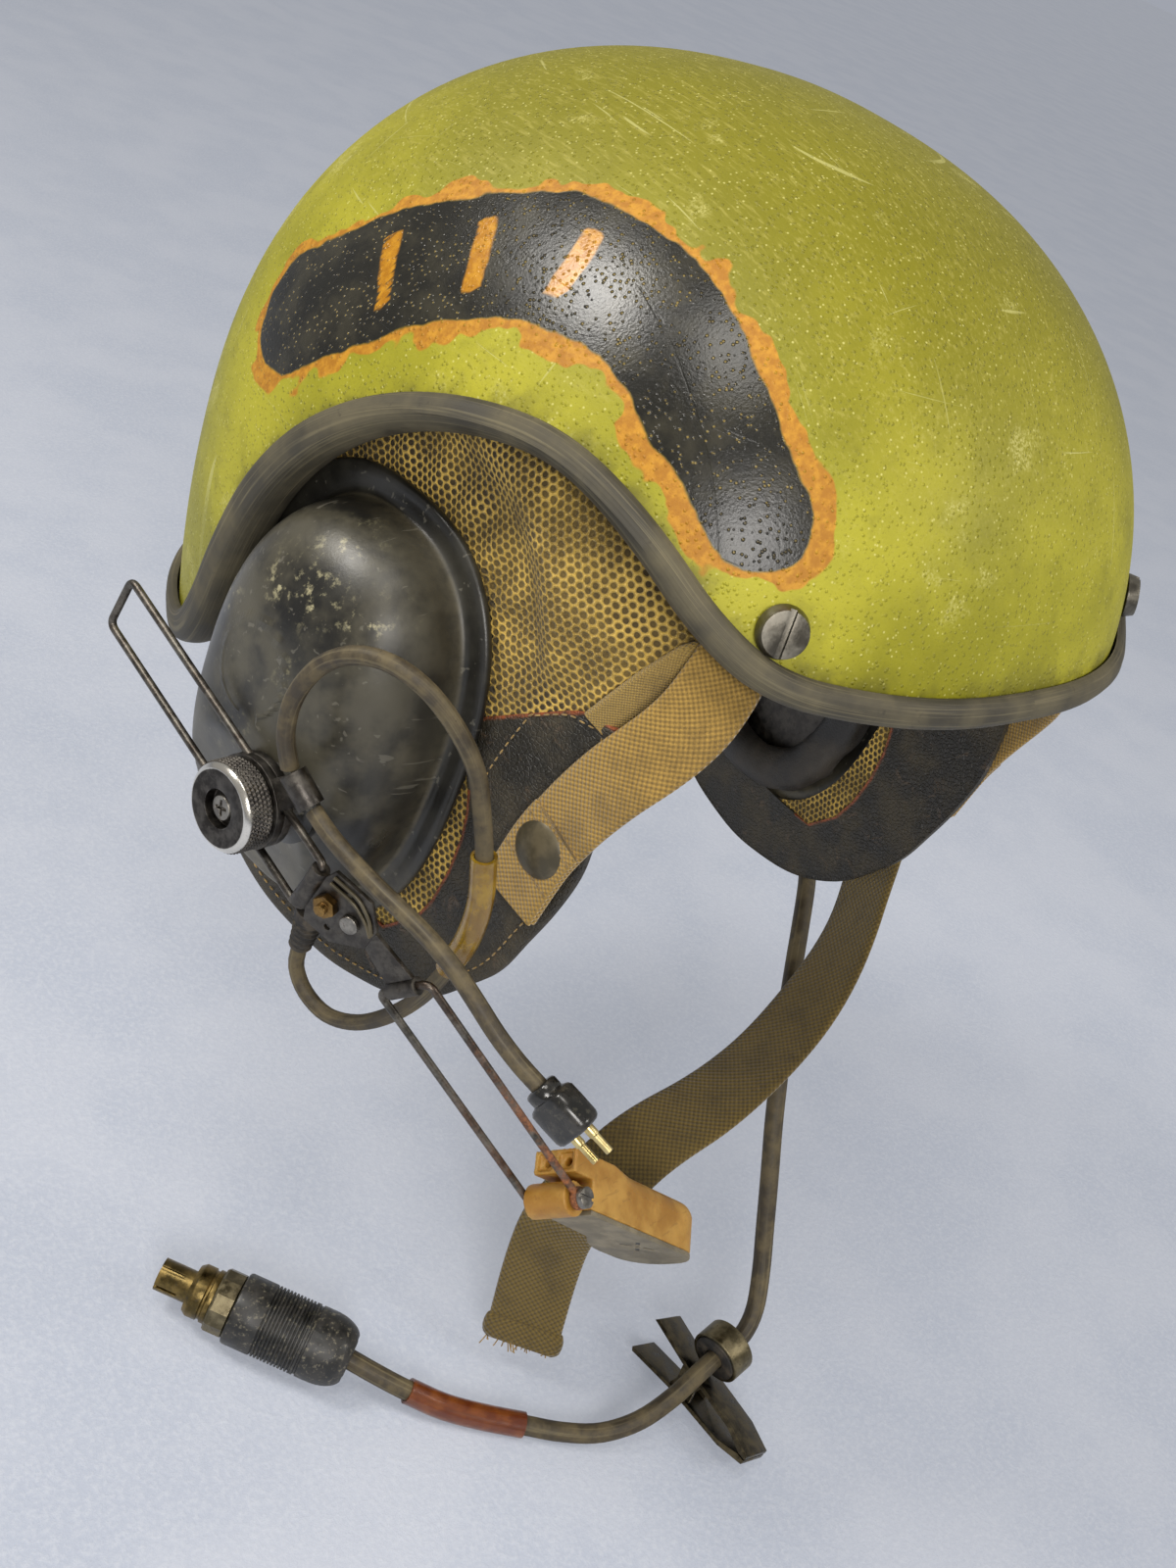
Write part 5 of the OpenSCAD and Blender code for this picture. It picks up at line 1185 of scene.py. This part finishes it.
def make_straps():
    share = np.clip((np.arange(len(strap_route)) - 4) / 6, 0, 1)[:, None]
    path = spline(strap_route, 6)
    outs = unit(spline(unit(FRONT_OUT * (1 - share) + CUP_OUT * share), 6))
    size = run_length(path)
    last = size[-1] - size < FOLD_LENGTH
    for name, side, at in cups:
        strap("front_webbing_" + name, path, outs, 19, 1.8, tan_web, at=at, replaces="front_strap_" + name)
        up = outs[last] @ at[:3, :3].T
        fold = put(at, path[last] + outs[last] * 1.5)
        rings, around, s, n = strap_rings(fold, up, 18.6, 1.2)
        points, faces, uvs = skin(rings, across=around, down=np.append(size[last], size[-1]))
        make("webbing_fold_" + name, points, faces, tan_web, "helmet", uvs, sharp=60)
        top = fold + n * 0.75
        for k, row in enumerate((2, -3)):
            ends = top[row] + np.array([s[2], -s[2]]) * 8
            stitch_row(f"webbing_stitches_{name}_{k}", ends, up[0], 2.2, 1.6, 0.55, dark_thread)
        lathe("snap_cap_" + name, snap_profile, snap_enamel, "helmet", at @ moved(75.2, 6.4, -5.1),
              replaces="strap_snaps" if side > 0 else ())
    path, outs = spline(chin_route, 8), unit(spline(chin_outs, 8))
    strap("chin_webbing", path, outs, 25, 1.8, dull_web, replaces="chin_strap",
          wave=lambda along, aside: 0.5 * np.sin(along[:, None] * 0.09 + 1) * (aside[None] / 12.5))
    d = unit(path[-1] - path[-2])
    end = path[-1] + d * np.linspace(0.1, 9, 12)[:, None]
    rings, around, s, n = strap_rings(end, np.broadcast_to(outs[-1], end.shape), 25.4, 2.8)
    swell = 1 + 0.14 * np.sin(np.linspace(0, math.pi, 12)) ** 0.5
    rings = end[:, None] + (rings - end[:, None]) * swell[:, None, None] * 0.96
    points, faces, uvs = skin(rings, across=around, down=np.append(run_length(end), 9))
    make("chin_webbing_end", points, faces, dull_web, "helmet", uvs, replaces="chin_strap_tip", sharp=60)
    make_fray(end[-1], d, s[-1], n[-1])


def make_fray(end, d, s, n, hairs=26):
    """Loose threads at the end of the webbing."""
    points, faces = [], []
    for k in range(hairs):
        start = end + s * rng.uniform(-12, 12) + n * rng.uniform(-1.3, 1.3) - d * 0.6
        way = d + s * rng.uniform(-0.5, 0.5) + n * rng.uniform(-0.6, 0.6)
        far = start + way * rng.uniform(1.6, 3.8)
        middle = (start + far) / 2 + s * rng.uniform(-0.5, 0.5)
        p, hair, _ = skin(tube_rings(spline([start, middle, far], 2), 0.22, 5))
        faces += [tuple(v + len(points) for v in face) for face in hair]
        points += p.tolist()
    make("webbing_fray", points, faces, tan_thread, "helmet")


# Ear cups, with their scuffs as [fore, up, reach, strength] for each side
scuffs = {1: ((6.6, 38.8, 6, 1.0), (19.7, 39, 5, 0.9), (-24, 20, 6, 0.9), (-4.7, 36.3, 6, 0.9),
              (2.5, 46.5, 6, 0.8), (10, 18, 4, 0.6), (-4, -8, 8, 0.4)),
          -1: ((4, 18, 8, 0.6), (-12, 6, 9, 0.5), (12, -12, 8, 0.4))}
boss_profile = [(0, 29.2), (9.2, 29.2), (9.8, 28.9), (10, 28.2), (10.1, 26.5), (10.6, 25), (11.6, 24),
                (13.2, 23), (13.2, 20), (0, 20)]


def make_cups():
    turn = circle(144)
    dw, dh, wall = CUP_HALF_W - 9.5, CUP_HALF_H - 7.5, 2.8

    def ring(hw, hh, z, fore, lid=None):
        p = oval(turn, hw, hh) + (fore, 0)
        z = np.full(len(turn), float(z))
        if lid:
            cut = lid - 1.6 + 0.4 * (p[:, 1] + 11)
            z = -0.35 * np.log(np.exp(-z / 0.35) + np.exp(-cut / 0.35))
        return np.column_stack([p, z])

    def bowl(a, less):
        wide, deep = math.cos(a) ** 0.8, CUP_DEPTH - less
        high = BASE + (deep - BASE) * math.sin(a) ** 0.75
        return ring((dw - less) * wide, (dh - less) * wide, high, 2, deep)
    dome_turn = np.radians(np.concatenate([np.linspace(5, 20, 6), np.linspace(24, 87, 30)]))
    rings = [bowl(a, wall) for a in dome_turn[::-1][::2]]
    rings += [ring(dw - wall, dh - wall, FLANGE + 0.6, 2), ring(dw - wall + 0.4, dh - wall + 0.4, FLANGE, 2),
              ring(CUP_HALF_W - 1, CUP_HALF_H - 1, FLANGE, 0)]
    for a in np.radians(np.linspace(-70, 78, 8)):
        more = -1.3 + 1.3 * math.cos(a)
        rings.append(ring(CUP_HALF_W + more, CUP_HALF_H + more, FLANGE + 1.5 + 1.45 * math.sin(a), 0))
    rings += [ring(CUP_HALF_W - 3.2, CUP_HALF_H - 3.2, BASE - 0.05, 0.4),
              ring(dw + 3.2, dh + 3.2, BASE - 0.15, 1.6)]
    for a in np.radians(np.linspace(0, 90, 6)):
        more = 2.2 - 2.2 * math.sin(a)
        rings.append(ring(dw + more, dh + more, BASE - 0.1 + 2.2 * (1 - math.cos(a)), 2))
    rings += [bowl(a, 0) for a in dome_turn]
    points, faces, uvs = skin(rings)
    x, y, z = points.T
    mark = np.exp(-((np.hypot(x + 2.7, y - 12.4) - 12.5) / 0.5) ** 2) * (z > 4)
    foot = np.clip((BASE + 8 - z) / 8, 0, 1) * (z > BASE + 0.6)
    dust = np.clip(foot * 0.4 + np.clip((-20 - y) / 30, 0, 1) * 0.5, 0, 1)
    for name, side, at in cups:
        scuff = np.zeros(len(points))
        for u, v, r, s in scuffs[side]:
            scuff = np.maximum(scuff, s * np.exp(-((x - u) ** 2 + (y - v) ** 2) / r ** 2))
        values = {"scuff": scuff * (z > 2), "ring": mark, "dust": dust, "film": np.clip(z / 8, 0, 1)}
        make("ear_cup_shell_" + name, points, faces, cup_black, "helmet", uvs, at=at,
             replaces="ear_cup_" + name, sharp=0, values=values)
        repaint("earphone_" + name, dark_steel)
    lathe("pivot_boss", boss_profile, cup_black, "helmet", stud)


# Cushions and pads
CLOTH_FRAMES = 20


def stuffed(name, node, finish, hint, shrink, most, pressure=4.0, voxel=4.5, gather=None):
    """A cushion from a solid: remeshed, blown up as cloth by no more than most, then subdivided."""
    piece = copied(name, node, finish, 0.02, voxel)
    mesh = baked(piece)
    co, no = points_of(mesh), points_of(mesh, "vector")
    held = np.einsum("ij,ij->i", no, hint(co * 1000)) > 0.6
    co = co - no * np.where(held, 0.0002, shrink / 1000)[:, None]
    set_points(mesh, co)
    group = piece.vertex_groups.new(name="held")
    group.add([int(v) for v in np.nonzero(held)[0]], 1.0, "REPLACE")
    cloth = piece.modifiers.new("cloth", "CLOTH")
    blow = cloth.settings
    blow.use_pressure, blow.uniform_pressure_force, blow.effector_weights.gravity = True, pressure, 0
    blow.vertex_group_mass, blow.quality = "held", 6
    blow.tension_stiffness = blow.compression_stiffness = 12
    blow.bending_stiffness = 0.3
    cloth.collision_settings.use_collision = False
    cloth.point_cache.frame_start, cloth.point_cache.frame_end = 1, CLOTH_FRAMES
    for n in range(1, CLOTH_FRAMES + 1):
        scene.frame_set(n)
    mesh = baked(piece)
    scene.frame_set(1)
    way = points_of(mesh) - co
    far = lengths(way)
    co = co + way * (np.minimum(far, most / 1000) / np.maximum(far, 1e-9))[:, None]
    if gather is not None:
        co = co + no * (gather(co * 1000) / 1000)[:, None]
    set_points(mesh, co)
    piece.vertex_groups.clear()
    fine = piece.modifiers.new("fine", "SUBSURF")
    fine.levels = fine.render_levels = 1
    baked(piece).shade_smooth()
    settle(piece, "helmet", node)


def make_pads():
    for name, side, at in cups:
        def folds(p, back=np.linalg.inv(at)):
            q = put(back, p)
            a = np.arctan2(q[:, 1], q[:, 0])
            inward = step((0.86 - oval_share(q, 41.0, 57.0)) / 0.2)
            return -0.45 * np.maximum(0, np.sin(a * 26 + 0.7 * np.sin(a * 7))) * inward
        stuffed("ear_cushion_" + name, "ear_seal_" + name, seal_skin,
                lambda p, at=at: np.broadcast_to(at[:3, 2], p.shape), 1.2, 2.2, gather=folds)
    for node in ("brow_pad", "nape_pad", "crown_pad"):
        stuffed(node + "_skin", node, pad_skin, unit, 1.4, 2.6)


# Strain reliefs, boom, clamp and nut
WIRE_R, LOOP_HALF, ARM_LENGTH = 1.1, 8.25, 78
NUT_R, NUT_TOP, NUT_UP = 11.6, 8.2, 34.8
nut_profile = [(0, 0), (NUT_R - 0.8, 0), (NUT_R - 0.15, 0.5), (NUT_R - 0.15, NUT_TOP - 1.5),
               (NUT_R - 0.2, NUT_TOP - 1.2), (NUT_R - 0.35, NUT_TOP - 0.95), (NUT_R - 1.25, NUT_TOP - 0.15),
               (NUT_R - 1.5, NUT_TOP - 0.02), (NUT_R - 1.9, NUT_TOP), (5.5, NUT_TOP), (5.1, NUT_TOP - 0.15),
               (5.0, NUT_TOP - 0.5), (5.0, NUT_TOP - 2.8), (4.8, NUT_TOP - 3), (0, NUT_TOP - 3)]
nut_polish = [0.5, 0.5, 0.6, 0.6, 0.8, 1, 1, 0.7, 0.1, 0, 0.4, 0, 0, 0, 0]


def relief(name, collar, rib, count, pitch, taper, tip, at, node):
    """A strain relief: a collar, then ribs that get thinner, and the tip's [radius, height]."""
    profile = [(0, collar[0][1])] + collar
    for k in range(count):
        profile += [(r - taper[j in (1, 2)] * k, z + pitch * k) for j, (r, z) in enumerate(rib)]
    lathe(name, profile + [tip, (0, tip[1])], rubber, "helmet", at, replaces=node, sides=40)


def make_boom():
    relief("mic_lead_relief", [(4.5, -0.4), (4.5, 2.2), (4.1, 2.6)],
           [(4.1, 3.4), (3.5, 3.9), (3.5, 4.5), (4.0, 4.9)], 5, 1.8, (0.17, 0.13), (3.0, 12.7),
           right_cup @ moved(22, -56, 3) @ turned(90, 0, 0), "mic_lead_gland")
    relief("main_lead_relief", [(6.5, -11.8), (6.5, -9.5), (6.1, -9)],
           [(6.0, -8.2), (5.3, -7.6), (5.3, -6.9), (5.85, -6.3)], 4, 2.3, (0.3, 0.22), (4.3, 0.9),
           along(main_run[0], np.subtract(main_run[1], main_run[0])), "main_lead_gland")
    h = LOOP_HALF
    upper = [(27, h - 4.4, 0), (27, h, 0), (-67, h, 0), (-67, -h, 0), (27, -h, 0), (27, 4.4 - h, 0)]
    upper = rounded(upper, 2.6)
    tube("upper_wire_loop", upper, WIRE_R, wire, "boom", 14, at=boom, replaces="boom_wire",
         values={"rust": lambda p: np.full(len(p), 0.04)})
    lower = [(ARM_LENGTH, 4.4 - h, 0), (ARM_LENGTH, -h, 0), (0, -h, 0), (0, h, 0), (75.2, h, 0)]
    lower = rounded(lower, 2.6)
    far, back = put(arm, [(ARM_LENGTH, 0, 0)])[0], np.linalg.inv(arm)
    tube("lower_wire_loop", lower, WIRE_R, wire, "mic_arm", 14, at=arm, replaces="mic_arm_wire",
         values={"rust": lambda p: np.clip(1.15 - lengths(p - far) / 62, 0.1, 1) * np.where(
             put(back, p)[:, 1] > 0, 1, 0.3)})
    a, b = circle(40)[:, None], circle(14)
    reach = 2.35 + 0.82 * squared(np.cos(b), 0.7)
    ring = np.stack([reach * np.cos(a), reach * np.sin(a), WIRE_R * squared(np.sin(b), 0.7) + 0 * a], -1)
    points, faces, uvs = skin(ring, closed=True)
    eye = arm @ moved(ARM_LENGTH, h, 0) @ turned(90, 0, 0)
    make("lower_loop_eye", points, faces, wire, "mic_arm", uvs, at=eye, sharp=0,
         values={"rust": np.full(len(points), 0.9)})
    for k, dy in enumerate((0, 2.2)):
        pin = [(4, 8.6 - dy), (12, 8.6 - dy), (17, 5.6 - dy * 0.8), (19.5, 2.2 - dy * 0.4)]
        pin = [(x, y, 1.2) for x, y in pin]
        tube(f"hairpin_wire_{k}", rounded(pin, 2), 0.5, snap_enamel, "boom", 10, at=bracket,
             replaces="bracket_spring" if k == 0 else ())
    at = stud @ moved(0, 0, NUT_UP)
    lathe("thumb_nut_body", nut_profile, nut_metal, "thumb_nut", at, replaces="thumb_nut", sides=96,
          marks={"polish": nut_polish})
    studs = linked("thumb_nut_knurl", bpy.data.meshes.new("thumb_nut_knurl"))
    knurl_tree(dark_steel).run(studs, around=60, rim=0.0115, row_height=0.0012, stud=0.00078)
    set_points(studs.data, put(at, points_of(studs.data) * 1000 + (0, 0, 1.25)) / 1000)
    studs.data.set_sharp_from_angle(angle=math.radians(20))
    settle(studs, "thumb_nut")
    for piece in (("thumb_nut_screw", steel, 0.18), ("clamp_base", dark_steel, 0.35),
                  ("clamp_cover", dark_steel, 0.35), ("lead_clip", dark_steel, 0.12),
                  ("boom_bracket", dark_steel, 0.25), ("bracket_screw", brass, 0.2),
                  ("elbow_plate", dark_steel, 0.25), ("elbow_rivet", steel, 0.3),
                  ("shell_screws", screw_steel, 0.45, 3)):
        softened(*piece)


# Microphone, and its plug's outline as [height, half width, half depth, squareness]
CASE_DEPTH, CASE_ROUND = 13, 5.0
plug_rings = ((-0.2, 3.2, 3.2, 2), (0.1, 3.9, 3.9, 2), (0.6, 4.2, 4.2, 2), (2.3, 4.2, 4.2, 2),
              (2.8, 4.0, 4.0, 2.2), (3.1, 3.7, 4.6, 2.6), (3.5, 4.0, 5.6, 3), (4.3, 4.25, 6.15, 3.4),
              (8, 4.3, 6.2, 3.4), (12.3, 4.25, 6.15, 3.4), (13.3, 4.05, 5.9, 3.2), (13.85, 3.6, 5.3, 3),
              (14, 2.9, 4.6, 3))


def make_microphone():
    back = np.linalg.inv(mic)
    turn = np.radians(np.linspace(0, 90, 7))
    outline = [(6, 8.4)] + [(53 + 9 * math.sin(a), -0.6 + 9 * math.cos(a)) for a in turn]
    outline += [(51 + 11 * math.cos(a), -3.6 - 11 * math.sin(a)) for a in turn]
    turn = np.radians(np.linspace(-95, -135, 6))
    outline += [(44 + 24 * math.cos(a), 9.4 + 24 * math.sin(a)) for a in turn] + [(6, -5.6)]

    def round_back(p):
        """Rounds the edge between the case's walls and its back, away from the barrel."""
        q = put(back, p)
        inset = np.maximum(-away_from(q[:, :2], outline), 0)
        r = CASE_ROUND * step((q[:, 0] - 12) / 16) + 0.01
        lift = r - np.sqrt(np.maximum(r ** 2 - np.maximum(r - inset, 0) ** 2, 0))
        q[:, 2] = np.where(q[:, 2] < 0, np.maximum(q[:, 2], lift - CASE_DEPTH), q[:, 2])
        return put(mic, q)
    cast("mic_case_moulding", "mic_case", ochre, 0.42, 5, round_back)
    softened("mic_face", face_grey, 0.22)
    gauze = [(0, 2.7), (6.4, 2.7), (6.4, 2.84), (0, 2.84)]
    lathe("mic_gauze", gauze, rib_black, "microphone", mic @ moved(41, 0, 0))
    cast("mic_barrel_moulding", "mic_barrel", ochre, 0.35, 2)
    softened("mic_screw", steel, 0.15)
    at = right_cup @ along(mic_run[-1], np.subtract(mic_run[-1], mic_run[-2]))
    c, s = np.cos(circle(48)), np.sin(circle(48))
    rings = [np.column_stack([wide * squared(c, 2 / n), high * squared(s, 2 / n), np.full(48, z)])
             for z, wide, high, n in plug_rings]
    points, faces, uvs = skin(rings)
    make("mic_plug_moulding", points, faces, plug_black, "boom_clamp", uvs, at=at, replaces="mic_plug",
         sharp=50)
    softened("mic_plug_pins", pin_brass, 0.3)


# Plug and clip on the main lead
PLUG_R, RIBS, RIBS_LONG, RIBS_START = 11.5, 12, 14, 14.05


def make_plug():
    e, before = np.array(main_run[-1], float), np.array(main_run[-2], float)
    at = moved(*e) @ turned(0, 90, math.degrees(math.atan2(*(e - before)[[1, 0]])))
    r, z0, pitch = PLUG_R, RIBS_START, RIBS_LONG / RIBS
    boot = [(0, -2), (5.6, -2), (6.1, -1.8), (6.5, -1.2)]
    for a in np.radians(range(14, 90, 8)):
        boot.append((2 * r * (0.28 + 0.22 * math.sin(a)), -2 + 10 * (1 - math.cos(a))))
    boot += [(r, 9), (r, 12.2), (r - 0.5, 12.4), (r - 0.5, 13), (r, 13.2), (r, 14), (0, 14)]
    lathe("plug_boot_moulding", boot, rib_black, "helmet", at, replaces="plug_boot", sides=80)
    ribs = [(0, z0), (r - 0.2, z0)]
    for k in range(RIBS):
        ribs += [(r - less, z0 + pitch * (k + share)) for less, share in (
            (0, 0.12), (0, 0.5), (0.2, 0.6), (0.8, 0.68), (0.8, 0.9), (0.2, 0.98))]
    ribs += [(r, z0 + 14.4), (r, z0 + 23), (r - 0.3, z0 + 23.7), (r - 0.9, z0 + 24), (0, z0 + 24)]
    lathe("plug_ribs", ribs, rib_black, "helmet", at, replaces="plug_coupling", sides=80, sharp=30)
    ring = [(0, z0 + 24.02), (9.7, z0 + 24.02), (10.3, z0 + 24.5), (10.3, z0 + 30.2), (9.8, z0 + 30.9),
            (0, z0 + 30.98)]
    lathe("plug_ring", ring, clip_brass, "helmet", at, sides=12, sharp=20)
    for piece in (("plug_nose", plug_brass, 0.22), ("clip_collar", clip_brass, 0.5, 3),
                  ("clip_bush", rubber, 0.3), ("clip_lower_lever", lever_metal, 0.5, 3),
                  ("clip_upper_lever", lever_metal, 0.5, 3), ("clip_pin", steel, 0.3)):
        softened(*piece)


make_cap()
make_leather()
make_straps()
make_cups()
make_pads()
make_boom()
make_microphone()
make_plug()
for node in ("liner_posts", "pivot_stud"):
    repaint(node, steel)

# Floor and light, with each lamp's name, place in metres, size, power and colour
FLOOR_HALF, FLOOR_Z, FLOOR_GLOW, ROOM_LIGHT = 14.0, -0.2605, 0.45, 0.42
lamps = (("window_light", (-0.77, 0.53, 0.95), 0.4, 11, (1, 0.97, 0.92)),
         ("ceiling_light", (-0.55, -0.15, 1.15), 0.45, 4, (1, 0.97, 0.92)),
         ("front_light", (0.52, -0.94, 0.73), 0.4, 4, (1, 0.97, 0.92)),
         ("camera_light", (-0.8, -0.95, 0.55), 0.5, 10, (1, 0.97, 0.94)))


def make_floor():
    mesh = bpy.data.meshes.new("floor")
    corners = [(x * FLOOR_HALF, y * FLOOR_HALF, FLOOR_Z) for x, y in ((-1, -1), (1, -1), (1, 1), (-1, 1))]
    mesh.from_pydata(corners, [], [(0, 1, 2, 3)])
    f = Finish("floor_fleece", (198, 199, 203), 0.9)
    nap = f.noise(1.8, 4, 0.7)
    f.ground(f.noise(60, 3, 0.55), 0.35, 0.65, (184, 191, 206), (198, 203, 215))
    f.over(nap, 0.4, 0.7, 0.6, (214, 218, 226))
    f.bump(nap, 0.9, 0.5)
    glow = f.add("Emission", {0: srgb(182, 187, 199), 1: 1.0})
    seen = f.times(f.add("LightPath"), FLOOR_GLOW)
    both = f.add("MixShader", {0: seen, 1: f.shader.outputs[0], 2: glow})
    f.tree.links.new(both, f.tree.nodes["Material Output"].inputs[0])
    mesh.materials.append(f.mat)
    linked("floor", mesh)


def make_light():
    world = scene.world = bpy.data.worlds.new("soft_room")
    world.use_nodes = True
    tree = world.node_tree
    light = tree.nodes["Background"]
    light.inputs[0].default_value, light.inputs[1].default_value = (0.96, 0.94, 0.9, 1), ROOM_LIGHT
    seen = add_node(tree, "ShaderNodeBackground", {0: srgb(160, 164, 174), 1: 1})
    path = add_node(tree, "ShaderNodeLightPath", out="Is Camera Ray")
    both = add_node(tree, "ShaderNodeMixShader", {0: path, 1: light.outputs[0], 2: seen})
    tree.links.new(both, tree.nodes["World Output"].inputs[0])
    for name, spot, size, power, colour in lamps:
        lamp = bpy.data.lights.new(name, "AREA")
        lamp.shape, lamp.size, lamp.energy, lamp.color = "DISK", size, power, colour
        thing = linked(name, lamp)
        thing.location = spot
        thing.rotation_euler = Vector(spot).to_track_quat("Z", "Y").to_euler()
    scene.view_settings.view_transform = "Standard"


make_floor()
make_light()
